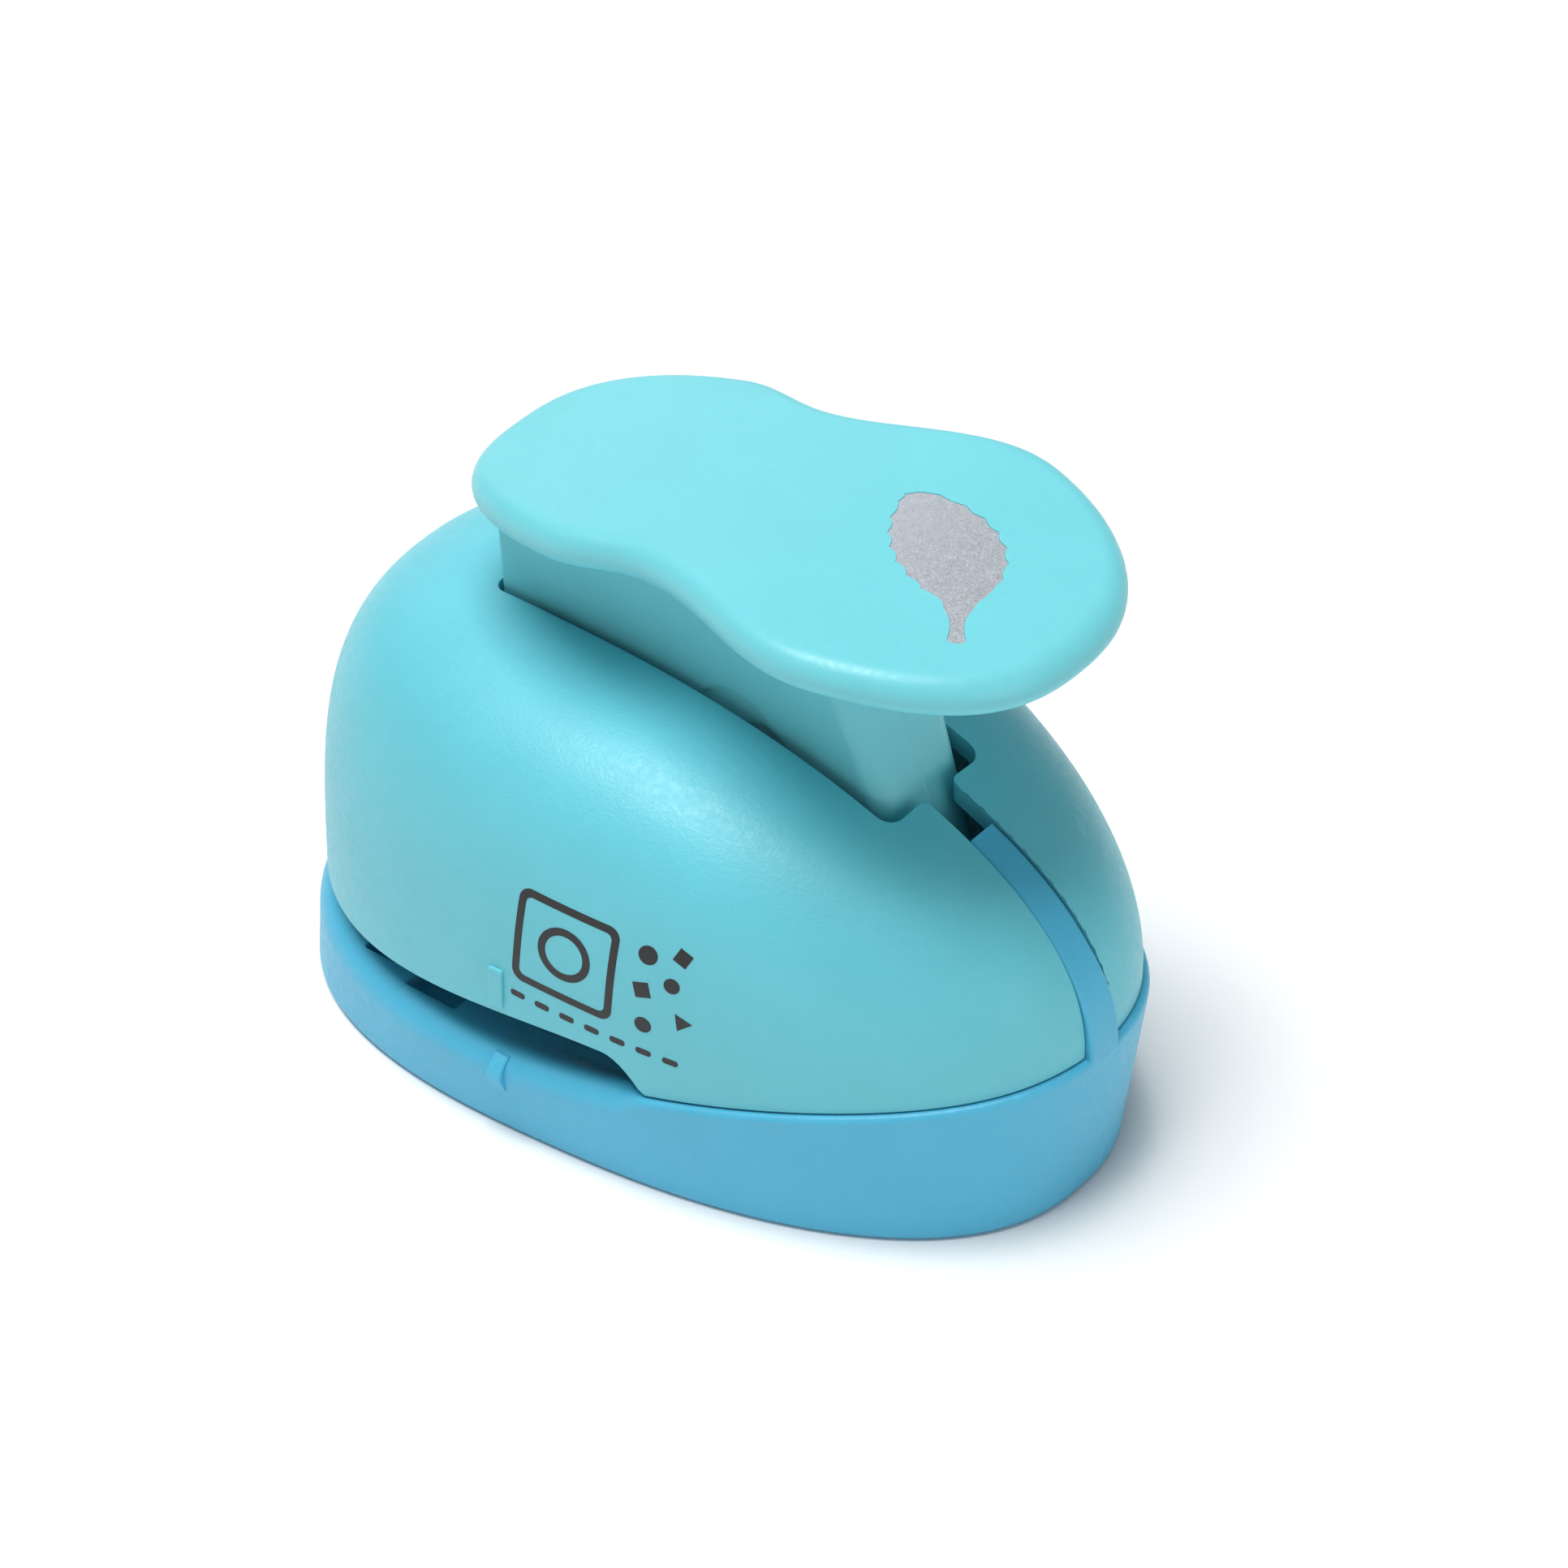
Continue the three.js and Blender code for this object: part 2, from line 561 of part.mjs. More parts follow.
function makeRivet([x, y]) {
  const shank = disc(x, y, DECK.top - DIE.thickness, guideTop + 0.5, 1.5);
  const outline = [[0, 0], [2.7, 0], [2.4, 0.6], [1.4, 1.05], [0, 1.2]];
  const profile = outline.map(([r, z]) => new THREE.Vector2(r, z));
  const head = new THREE.LatheGeometry(profile, 20).rotateX(PI / 2).translate(x, y, guideTop + LAYER_GAP);
  return shank.add(toSolid(head));
}

// A pan-head screw pointing up, with a cross recess under its head.
function makeScrew(x, y, top, shank) {
  const headTop = DECK.bottom - 0.1;
  const head = disc(x, y, headTop - 1.8, headTop, 2.8);
  const recess = [box(x - 1.5, x + 1.5, y - 0.35, y + 0.35, 0, headTop - 0.9),
    box(x - 0.35, x + 0.35, y - 1.5, y + 1.5, 0, headTop - 0.9)];
  const body = head.add(disc(x, y, headTop - 0.2, top, shank, 16));
  return recess.reduce((solid, cut) => solid.subtract(cut), body);
}

// A cap screw sunk in the holder's presser, pulling the punch up against the holder.
function makePunchScrew(x) {
  const seat = PUNCH.holderTop + 0.5;
  const head = disc(x, 0, seat, seat + 1.6, 2, 14);
  const socket = disc(x, 0, seat + 0.6, seat + 3, 1, 6);
  return head.add(disc(x, 0, PUNCH.bottom + 6, seat + 0.1, 1.2, 14)).subtract(socket);
}

// ---- materials and assembly ----
const paint = (color, roughness, metalness = 0) =>
  new THREE.MeshStandardMaterial({ color, roughness, metalness });
const aqua = paint(0x6ecbd6, 0.5);
const paleAqua = paint(0x86e6ee, 0.42);
const blue = paint(0x55b8da, 0.45);
const steel = paint(0xb4b8bc, 0.3, 0.9);
const blackened = paint(0x55585c, 0.45, 0.8);
const silverFoil = paint(0xb9bcc6, 0.35, 0.6);
const whitePlastic = paint(0xe6e8e6, 0.5);

const punch = new THREE.Group();
function place(name, solid, material) {
  const mesh = new THREE.Mesh(toGeometry(solid), material);
  mesh.name = name;
  punch.add(mesh);
}

place("base", makeBase(), blue);
place("cover_shell", makeCover(), aqua);
place("press_lever", makeLever(), paleAqua);
place("leaf_foil", leafLayer(-FOIL.thickness, FOIL.thickness, -0.1), silverFoil);
const pinHalf = PIVOT.earTo - 1.2;
place("pivot_pin", crossBar(PIVOT.x, PIVOT.z, -pinHalf, pinHalf, PIVOT.pinRadius), steel);
place("die_plate", makeDiePlate(), steel);
place("spacer_plate", makeSpacer(), steel);
place("guide_plate", makeGuidePlate(), steel);
place("leaf_punch", makePunch(), steel);
place("punch_holder", makeHolder(), whitePlastic);
["left", "right"].forEach((hand, i) => {
  place(`guide_post_${hand}`, makePost(postPlaces[i]), steel);
  place(`post_clip_${hand}`, makePostClip(postPlaces[i]), blackened);
  place(`return_spring_${hand}`, makeSpring(postPlaces[i]), steel);
  place(`die_rivet_${hand}`, makeRivet(RIVETS[i]), steel);
});
["front", "rear"].forEach((end, i) =>
  place(`punch_screw_${end}`, makePunchScrew(punchScrewPlaces[i]), blackened));
CASE_SCREWS.forEach(([x, y], i) =>
  place(`case_screw_${i + 1}`, makeScrew(x, y, DECK.top + 10, 1.4), blackened));
DIE_SCREWS.forEach(([x, y], i) =>
  place(`die_screw_${i + 1}`, makeScrew(x, y, DECK.top - 0.8, 1.2), blackened));

export default punch;
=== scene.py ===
"""Looks of the lever craft punch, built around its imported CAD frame.

Shapes are worked out in millimetres in the row frame (+X to the rear, +Z up) and scaled on creation.
"""
import math

import bmesh
import bpy
import numpy as np
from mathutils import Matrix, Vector


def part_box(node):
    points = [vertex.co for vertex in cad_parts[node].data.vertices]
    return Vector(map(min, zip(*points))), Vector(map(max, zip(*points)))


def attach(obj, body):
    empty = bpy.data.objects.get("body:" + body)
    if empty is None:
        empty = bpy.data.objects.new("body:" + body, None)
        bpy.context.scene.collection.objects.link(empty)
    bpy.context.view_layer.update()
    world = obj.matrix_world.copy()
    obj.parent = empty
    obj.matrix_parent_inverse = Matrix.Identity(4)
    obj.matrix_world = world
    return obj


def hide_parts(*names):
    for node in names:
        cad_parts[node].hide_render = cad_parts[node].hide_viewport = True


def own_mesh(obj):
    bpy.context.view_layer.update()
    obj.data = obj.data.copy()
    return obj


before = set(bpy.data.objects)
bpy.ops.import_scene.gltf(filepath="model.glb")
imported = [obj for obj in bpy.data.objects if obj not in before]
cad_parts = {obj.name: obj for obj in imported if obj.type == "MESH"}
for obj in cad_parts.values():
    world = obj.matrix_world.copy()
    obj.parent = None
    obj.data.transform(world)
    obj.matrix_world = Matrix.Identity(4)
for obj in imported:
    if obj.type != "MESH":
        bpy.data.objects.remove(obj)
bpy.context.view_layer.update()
MM = 0.001

# ---- driving dimensions, in millimetres ----
PEAK_X = -14.0
DOME_TOP = 43.5
HALF_LENGTH = 42.5
HALF_WIDTH = 27.3
TAPER = 0.15
FRONT_POWER, REAR_POWER = 2.2, 2.35
FOOT_FRONT_POWER, FOOT_REAR_POWER = 2.62, 2.34
FOOT_FRONT, FOOT_REAR, FOOT_SIDE = 1.0, 2.4, 1.6
DOME_FRONT_POWER, DOME_SIDE_POWER, DOME_REAR_POWER = 4.05, 3.74, 2.26
RIM_FRONT, RIM_REAR, RIM_FROM, RIM_TO = 9.0, 18.8, -14.4, 53.9
RIM_WALL, RIM_ROUND_FRONT, RIM_ROUND_REAR = 3.2, 2.6, 0.7
REAR_RIM_FROM, REAR_RIM_FADE = 6.5, 3.5
DECK_TOP, DECK_BOTTOM = 9.0, 5.2
CHUTE_HALF, SCREW_HOLE = 11, 1.7
WINDOWS = ((-26.6, -22.6, 22.5), (-20.2, -14.2, 24.1))
WINDOW_INNER, WINDOW_FLOOR = 17.5, 6.6
STIFFENERS, STIFFENER_HALF = (-31.0, 22.5), 15.0
SHELL_INSET, SHELL_WALL, SEAM_GAP = 0.7, 2.0, 0.3
THROAT_HIGH, THROAT_LOW, THROAT_FROM, THROAT_LENGTH = 15.35, 11.25, 4.0, 40.0
STEP_FROM, STEP_TO = 5.0, 9.3
SLOT_FRONT, SLOT_REAR, SLOT_HALF, SLOT_CORNER = -23.2, 22.6, 6.75, 1.3
CHANNEL_TOP, CHANNEL_BOTTOM = 1.85, 2.2
RIB_FROM, RIB_TOP, RIB_BOTTOM, RIB_DEEP = 28.1, 1.68, 2.08, 3.4
MARK_X, MARK_WIDTH, MARK_PROUD = -6.4, 1.6, 0.3
COVER_MARK_LOW, COVER_MARK_HIGH, BASE_MARK_LOW = 15.4, 19.9, 5.6
BOSS_RADIUS, BOSS_HOLE, BOSS_HOLE_DEEP = 3.2, 1.5, 12
EAR_FROM, EAR_TO, EAR_HALF, EAR_HOLE = 6.5, 10.5, 4.5, 2.05
PLATE_X, PLATE_Z, PLATE_TILT = 5.78, 61.17, math.radians(6.2)
PLATE_FRONT, PLATE_REAR, PLATE_THICK = 32.4, 32.45, 4.0
CROWN_FRONT, CROWN_REAR = 0.0025, 0.0042
PLATE_ROUND = 1.9
LOBE_FRONT, WAIST, LOBE_REAR, WAIST_AT = 15.9, 13.95, 20.2, -6.2
LOBE_FRONT_POWER, LOBE_REAR_POWER = 2.68, 2.44
WEB_BOTTOM, WEB_FRONT, WEB_REAR_AT, WEB_REAR_Z = 30.0, -22.8, 20.2, 40.8
WEB_LEAN, WEB_TOP_HALF, WEB_DRAFT, WEB_WALL = 0.396, 7.0, 0.072, 1.8
WEB_FRONT_CORNER, WEB_REAR_CORNER, WEB_FILLET = 0.8, 2.4, 1.1
WEB_RECESSES = ((7.8, 38.5, 5.3, 3.3), (4.6, 39.8, 5.78, 4.6))
DIE_X = -6.5
LEAF_LENGTH, LEAF_FULL_SIDE, LEAF_LEAN_SIDE = 17.0, 5.95, 3.45
LEAF_TIP_HALF, LEAF_NECK_HALF = 0.6, 1.1
LEAF_TEETH, LEAF_TOOTH, LEAF_TURN = 8, 0.35, math.radians(-38.4)
LEAF_STEM, LEAF_STEM_BEND = 4.5, math.radians(-15.7)
STEM_HALVES = ((0.2, 1.15), (0.7, 0.9), (1.2, 0.75), (1.9, 0.64), (2.6, 0.6), (3.2, 0.64), (3.8, 0.76),
               (4.1, 0.78), (4.35, 0.68), (4.48, 0.45), (4.52, 0.2))
LEAF_X, LEAF_Y = 22.95, -0.1
FOIL_SUNK, FOIL_THICK = 0.06, 0.12
PIVOT_X, PIVOT_Z = -19.5, 35.0
BARREL, BARREL_HALF, BARREL_HOLE = 4.0, 5.2, 2.1
PRESSER_BAR, PRESSER_BAR_HALF = 4.0, 4.2
SPRING_COIL, SPRING_WIRE, SPRING_TURNS = 2.5, 0.35, 6
SPRING_OUT, SPRING_KEEP = 9, 0.65

# ---- camera ----
CAMERA_TURN = math.radians(38.57)
CAMERA_RISE = math.radians(38.97)
CAMERA_DISTANCE = 711.7
CAMERA_LENS = 173.96
CAMERA_AIM_RIGHT, CAMERA_AIM_UP = 4.254, 21.343


def make_camera():
    back = Vector((
        math.sin(CAMERA_TURN) * math.cos(CAMERA_RISE),
        -math.cos(CAMERA_TURN) * math.cos(CAMERA_RISE),
        math.sin(CAMERA_RISE),
    ))
    right = Vector((math.cos(CAMERA_TURN), math.sin(CAMERA_TURN), 0))
    up = back.cross(right)
    aim = right * CAMERA_AIM_RIGHT + up * CAMERA_AIM_UP
    data = bpy.data.cameras.new("camera")
    data.lens = CAMERA_LENS
    data.sensor_width = 36.0
    data.clip_start = 0.01
    camera = bpy.data.objects.new("camera", data)
    camera.location = (aim + back * CAMERA_DISTANCE) * MM
    camera.rotation_euler = back.to_track_quat("Z", "Y").to_euler()
    bpy.context.scene.collection.objects.link(camera)
    bpy.context.scene.camera = camera


make_camera()


# ---- small helpers ----
def mix(a, b, t):
    return a + (b - a) * t


def smooth(t):
    u = np.clip(t, 0, 1)
    return u * u * (3 - 2 * u)


def signed_power(value, power):
    return np.sign(value) * np.abs(value) ** power


def new_object(name, verts, faces):
    mesh = bpy.data.meshes.new(name)
    mesh.from_pydata([tuple(v) for v in np.asarray(verts, float) * MM], [], [tuple(f) for f in faces])
    mesh.validate()
    obj = bpy.data.objects.new(name, mesh)
    bpy.context.scene.collection.objects.link(obj)
    return obj


def weld_and_face_out(obj, distance=0.002):
    work = bmesh.new()
    work.from_mesh(obj.data)
    bmesh.ops.remove_doubles(work, verts=work.verts, dist=distance * MM)
    bmesh.ops.dissolve_degenerate(work, edges=work.edges, dist=1e-7)
    bmesh.ops.recalc_face_normals(work, faces=work.faces)
    work.to_mesh(obj.data)
    work.free()
    return obj


def skin(name, rows, ring=False, caps=True):
    """A closed skin through rows of points; each row is a closed loop of the same count."""
    rows = np.asarray(rows, float)
    count = rows.shape[1]
    total = rows.shape[0]
    faces = []
    for i in range(total if ring else total - 1):
        for j in range(count):
            k = (j + 1) % count
            up = (i + 1) % total
            faces.append((i * count + j, i * count + k, up * count + k, up * count + j))
    if not ring and caps:
        faces.append(tuple(range(count))[::-1])
        faces.append(tuple((total - 1) * count + j for j in range(count)))
    return weld_and_face_out(new_object(name, rows.reshape(-1, 3), faces))


def apply_modifiers(obj):
    bpy.context.view_layer.update()
    graph = bpy.context.evaluated_depsgraph_get()
    mesh = bpy.data.meshes.new_from_object(obj.evaluated_get(graph))
    obj.modifiers.clear()
    obj.data = mesh
    return obj


def boolean(obj, other, operation):
    modifier = obj.modifiers.new("cut", "BOOLEAN")
    modifier.operation = operation
    modifier.solver = "EXACT"
    modifier.object = other
    apply_modifiers(obj)
    bpy.data.objects.remove(other)
    return obj


def bevel(obj, width, segments=3, angle=None):
    modifier = obj.modifiers.new("bevel", "BEVEL")
    modifier.width = width * MM
    modifier.segments = segments
    modifier.use_clamp_overlap = True
    if angle is None:
        modifier.limit_method = "WEIGHT"
    else:
        modifier.limit_method = "ANGLE"
        modifier.angle_limit = math.radians(angle)
    return apply_modifiers(obj)


def shade(obj, angle=35):
    """Smooth shading that follows the large faces, with creases sharper than this angle kept."""
    obj.data.polygons.foreach_set("use_smooth", [True] * len(obj.data.polygons))
    obj.data.set_sharp_from_angle(angle=math.radians(angle))
    modifier = obj.modifiers.new("normals", "WEIGHTED_NORMAL")
    modifier.keep_sharp = True
    modifier.weight = 60
    return apply_modifiers(obj)


def block(x0, x1, y0, y1, levels, corner=0.4):
    """An upright block through (height, grow) levels, with rounded corners."""
    return skin("block", [
        [(x, y, z) for x, y in rounded_rect(x0 - grow, x1 + grow, y0 - grow, y1 + grow, corner, 4)]
        for z, grow in levels
    ])


def turned(x, y, levels, sides=48):
    """A turned solid on a vertical axis through (radius, height) levels."""
    t = np.linspace(0, 2 * np.pi, sides, endpoint=False)
    return skin("turned", [[(x + r * math.cos(a), y + r * math.sin(a), z) for a in t] for r, z in levels])


def cross_bar(x, z, y0, y1, radius, sides=64):
    """A round bar across the punch, from y0 to y1."""
    t = np.linspace(0, 2 * np.pi, sides, endpoint=False)
    return skin("cross_bar", [[(x + radius * math.cos(a), y, z + radius * math.sin(a)) for a in t]
                              for y in (y0, y1)])


def rounded_rect(x0, x1, y0, y1, radius, steps=8, left_radius=None):
    """A rounded rectangle's points; its corners at x0 may have a radius of their own."""
    points = []
    left = radius if left_radius is None else left_radius
    corners = ((x1, y1, 0, radius), (x0, y1, 1, left), (x0, y0, 2, left), (x1, y0, 3, radius))
    for cx, cy, quarter, radius in corners:
        ox = cx - math.copysign(radius, cx - (x0 + x1) / 2)
        oy = cy - math.copysign(radius, cy - (y0 + y1) / 2)
        for i in range(steps + 1):
            t = (quarter + i / steps) * math.pi / 2
            points.append((ox + radius * math.cos(t), oy + radius * math.sin(t)))
    return points


# ---- the case's egg plan and dome, the same formulas as the CAD part ----
def egg(t, off, foot=False):
    """The case's plan outline at angle t, drawn in by off, at the rim or at the foot."""
    c, s = np.cos(t), np.sin(t)
    front, rear = (FOOT_FRONT_POWER, FOOT_REAR_POWER) if foot else (FRONT_POWER, REAR_POWER)
    power = np.where(c < 0, front, rear)
    u = signed_power(c, 2 / power)
    v = signed_power(s, 2 / power)
    end = np.where(u < 0, FOOT_FRONT, FOOT_REAR) if foot else 0.0
    width = (HALF_WIDTH - off - (FOOT_SIDE if foot else 0.0)) * (1 - TAPER * u)
    return (HALF_LENGTH - off - end) * u, width * v


def rim_height(x):
    return mix(RIM_FRONT, RIM_REAR, smooth((x - RIM_FROM) / (RIM_TO - RIM_FROM)))


def cover_edge(x):
    seam = rim_height(x) + SEAM_GAP
    raised = mix(THROAT_HIGH, THROAT_LOW, smooth((THROAT_FROM - x) / THROAT_LENGTH))
    t = np.clip((x - STEP_FROM) / (STEP_TO - STEP_FROM), 0, 1)
    return mix(raised, seam, t * t)


def dome_reach(dx, dy, off):
    """How far the plan outline, drawn in by off, lies from the peak along (dx, dy)."""
    dx, dy = np.broadcast_arrays(np.asarray(dx, float), np.asarray(dy, float))
    low = np.zeros(dx.shape)
    high = np.full(dx.shape, 2 * HALF_LENGTH)
    for _ in range(44):
        r = (low + high) / 2
        u = (PEAK_X + r * dx) / (HALF_LENGTH - off)
        width = (HALF_WIDTH - off) * (1 - TAPER * u)
        power = np.where(u < 0, FRONT_POWER, REAR_POWER)
        inside = np.abs(u) ** power + np.abs(r * dy / width) ** power < 1
        low = np.where(inside, r, low)
        high = np.where(inside, high, r)
    return low


def dome_power(dx):
    share = dx * dx
    front = mix(DOME_SIDE_POWER, DOME_FRONT_POWER, share)
    rear = mix(DOME_SIDE_POWER, DOME_REAR_POWER, share * share)
    return np.where(dx < 0, front, rear)


def dome_height(x, y, depth=0.0):
    x, y = np.asarray(x, float), np.asarray(y, float)
    r = np.maximum(1e-6, np.hypot(x - PEAK_X, y))
    dx, dy = (x - PEAK_X) / r, y / r
    reach = dome_reach(dx, dy, SHELL_INSET + depth)
    power = dome_power(dx)
    foot = rim_height(PEAK_X + reach * dx)
    rho = np.minimum(1, r / reach)
    return foot + (DOME_TOP - depth - foot) * np.maximum(0, 1 - rho**power) ** (1 / power)


# ---- cover ----
COVER_ROWS = 64
COVER_COLUMNS = 420
TIP_ROUND = 0.8
TIP_X = SLOT_REAR + 0.35
SHOULDER_CORNER = 1.7
CHANNEL_FROM, CHANNEL_RISE, CHANNEL_FADE = 18, 20, 0.12
EDGE_ROUND = 0.38
SHELL_INTO = 1.2
CASE_SCREWS, DIE_SCREWS = 4, 3


def slot_edge():
    """The slot's edge on the far side, from the rear channel's mouth round to the front centre."""
    points = []
    for t in np.linspace(0, np.pi / 2, 7):
        points.append((TIP_X + TIP_ROUND * (1 - math.sin(t)), CHANNEL_TOP + TIP_ROUND * (1 - math.cos(t))))
    for t in np.linspace(0, np.pi / 2, 9):
        points.append((
            TIP_X - SHOULDER_CORNER * (1 - math.cos(t)),
            SLOT_HALF - SHOULDER_CORNER * (1 - math.sin(t)),
        ))
    for t in np.linspace(0, np.pi / 2, 9):
        points.append((
            SLOT_FRONT + SLOT_CORNER * (1 - math.sin(t)),
            SLOT_HALF - SLOT_CORNER * (1 - math.cos(t)),
        ))
    points.append((SLOT_FRONT, 0.0))
    return np.array(points)


def meridian(theta, edge_radius, depth, bottom):
    """Radii and heights up the dome at plan angle theta, from height bottom to plan radius edge_radius."""
    dx, dy = math.cos(theta), math.sin(theta)
    reach = float(dome_reach(dx, dy, SHELL_INSET + depth))
    power = float(dome_power(np.array(dx)))
    foot = float(rim_height(PEAK_X + reach * dx))
    rise = DOME_TOP - depth - foot
    share = max(0.0, (bottom - foot) / rise)
    start = math.acos(min(1.0, share ** (power / 2)))
    stop = math.asin(min(1.0, (edge_radius / reach) ** (power / 2)))
    angle = mix(start, stop, np.linspace(0, 1, 500) ** 2)
    rho = np.sin(angle) ** (2 / power)
    return rho * reach, foot + rise * np.abs(np.cos(angle)) ** (2 / power)


def resample(r, z, shares):
    run = np.concatenate([[0], np.cumsum(np.hypot(np.diff(r), np.diff(z)))])
    return np.interp(shares * run[-1], run, r), np.interp(shares * run[-1], run, z)


def cover_grid(depth, angles, radii):
    grid = np.zeros((len(angles), COVER_ROWS, 3))
    for i, (theta, radius) in enumerate(zip(angles, radii)):
        reach = float(dome_reach(math.cos(theta), math.sin(theta), SHELL_INSET + depth))
        edge = float(cover_edge(PEAK_X + reach * math.cos(theta)))
        r, z = resample(*meridian(theta, radius, depth, edge), np.linspace(0, 1, COVER_ROWS))
        grid[i] = np.stack([PEAK_X + r * math.cos(theta), r * math.sin(theta), z], 1)
        grid[i, 0, 2] = edge
    # the columns beside the rear channel lean over to its straight edge
    share = np.clip((grid[0, :, 2] - CHANNEL_FROM) / CHANNEL_RISE, 0, 1)
    channel = mix(CHANNEL_BOTTOM, CHANNEL_TOP, share)
    shift = channel - grid[0, :, 1]
    for i, theta in enumerate(angles):
        fade = math.exp(-((theta - angles[0]) / CHANNEL_FADE) ** 2)
        if fade < 0.003:
            break
        grid[i, :, 1] += shift * fade
        grid[i, 1:, 2] = np.maximum(dome_height(grid[i, 1:, 0], grid[i, 1:, 1], depth), grid[i, 0, 2])
    return grid


def cover_columns():
    """Plan angles and slot-edge radii of the cover's columns on the far side."""
    edge = slot_edge()
    order = np.linspace(0, len(edge) - 1, 6000)
    x = np.interp(order, range(len(edge)), edge[:, 0])
    y = np.interp(order, range(len(edge)), edge[:, 1])
    theta = np.maximum.accumulate(np.unwrap(np.arctan2(y, x - PEAK_X)))
    theta += np.arange(len(theta)) * 1e-9
    reach = dome_reach(np.cos(theta), np.sin(theta), SHELL_INSET)
    rim_run = np.hypot(np.diff(reach * np.cos(theta)), np.diff(reach * np.sin(theta)))
    run = np.concatenate([[0], np.cumsum(rim_run + 1.6 * np.hypot(np.diff(x), np.diff(y)))])
    want = np.linspace(0, run[-1], COVER_COLUMNS // 2)
    return np.interp(want, run, theta), np.interp(want, run, np.hypot(x - PEAK_X, y))


def weigh_edges(obj, pairs):
    """Marks the edges between these vertex pairs for a weighted bevel."""
    mesh = obj.data
    weights = mesh.attributes.new("bevel_weight_edge", "FLOAT", "EDGE")
    wanted = {tuple(sorted(pair)) for pair in pairs}
    for edge in mesh.edges:
        if tuple(sorted(edge.vertices)) in wanted:
            weights.data[edge.index].value = 1.0


def mark_wall(off, foot=False):
    """How far out the side wall is at the alignment marks."""
    angle = math.acos(-(-MARK_X / HALF_LENGTH) ** (FRONT_POWER / 2))
    return float(egg(np.array(angle), off, foot=foot)[1])


def make_cover():
    angles, radii = cover_columns()
    outer = cover_grid(0.0, angles, radii)
    inner = cover_grid(SHELL_WALL, angles, radii)
    inner[:, 0, 2] = outer[:, 0, 2]
    loop = np.concatenate([outer, inner[:, ::-1]], 1)
    whole = np.concatenate([loop, loop[:-1][::-1] * np.array([1, -1, 1])], 0)
    columns, count = whole.shape[:2]
    at = lambda i, j: i * count + j % count
    faces = [(at(i, j), at(i, j + 1), at(i + 1, j + 1), at(i + 1, j))
             for i in range(columns - 1) for j in range(count)]
    for i in (0, columns - 1):
        faces += [(at(i, j), at(i, j + 1), at(i, count - 2 - j), at(i, count - 1 - j))
                  for j in range(COVER_ROWS - 1)]
    cover = new_object("cover", whole.reshape(-1, 3), faces)
    top = COVER_ROWS - 1
    pairs = [(at(i, j), at(i + 1, j)) for i in range(columns - 1) for j in (0, top, top + 1)]
    pairs += [(at(i, j), at(i, j + 1)) for i in (0, columns - 1) for j in range(top)]
    weigh_edges(cover, pairs)
    bevel(cover, EDGE_ROUND)
    weld_and_face_out(cover, 0.0005)
    for side in (-1, 1):
        boolean(cover, mark_bar(side), "UNION")
    cover_bosses(cover)
    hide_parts("cover_shell")
    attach(cover, "housing")
    return shade(cover)


def mark_bar(side):
    """The cover's raised alignment mark with rounded edges, standing out of its side wall."""
    wall = mark_wall(SHELL_INSET)
    half = MARK_WIDTH / 2
    rows = []
    levels = ((-1.2, 0.0), (MARK_PROUD - 0.15, 0.0), (MARK_PROUD - 0.04, -0.08), (MARK_PROUD, -0.2))
    for rise, grow in levels:
        outline = rounded_rect(
            -half - grow, half + grow, COVER_MARK_LOW - grow, COVER_MARK_HIGH + grow, 0.25, 4)
        rows.append([(MARK_X + x, side * (wall + rise), z) for x, z in outline])
    return skin("mark", rows)


def screw_place(node):
    low, high = (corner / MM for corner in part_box(node))
    return (low.x + high.x) / 2, (low.y + high.y) / 2


def cover_bosses(cover):
    """The screw bosses and the pivot's ears that hang under the dome."""
    spots = [(r * math.cos(a), r * math.sin(a)) for r in (0, BOSS_RADIUS)
             for a in np.linspace(0, 2 * np.pi, 17)]
    for i in range(CASE_SCREWS):
        x, y = screw_place(f"case_screw_{i + 1}")
        top = min(float(dome_height(x + u, y + v, SHELL_INTO)) for u, v in spots)
        boss = turned(x, y, [(BOSS_RADIUS, DECK_TOP + SEAM_GAP), (BOSS_RADIUS, top)])
        hole = turned(x, y, [(BOSS_HOLE, DECK_TOP - 1), (BOSS_HOLE, DECK_TOP + BOSS_HOLE_DEEP)], 32)
        boolean(boss, hole, "DIFFERENCE")
        boolean(cover, boss, "UNION")
    for side in (-1, 1):
        y0, y1 = sorted((side * EAR_FROM, side * EAR_TO))
        top = min(float(dome_height(PIVOT_X + u, y, SHELL_INTO)) for u in (-EAR_HALF, EAR_HALF)
                  for y in (y0, y1))
        ear = block(PIVOT_X - EAR_HALF, PIVOT_X + EAR_HALF, y0, y1, [(PIVOT_Z - EAR_HALF, 0), (top, 0)])
        hole = cross_bar(PIVOT_X, PIVOT_Z, *sorted((side * 5, side * (EAR_TO - 1))), EAR_HOLE)
        boolean(ear, hole, "DIFFERENCE")
        boolean(cover, ear, "UNION")


# ---- base ----
BASE_STATIONS = 480


def rear_share(x):
    """0 where the rim rolls over to the deck, 1 where it stands up against the cover's seam."""
    return smooth((x - REAR_RIM_FROM) / REAR_RIM_FADE)


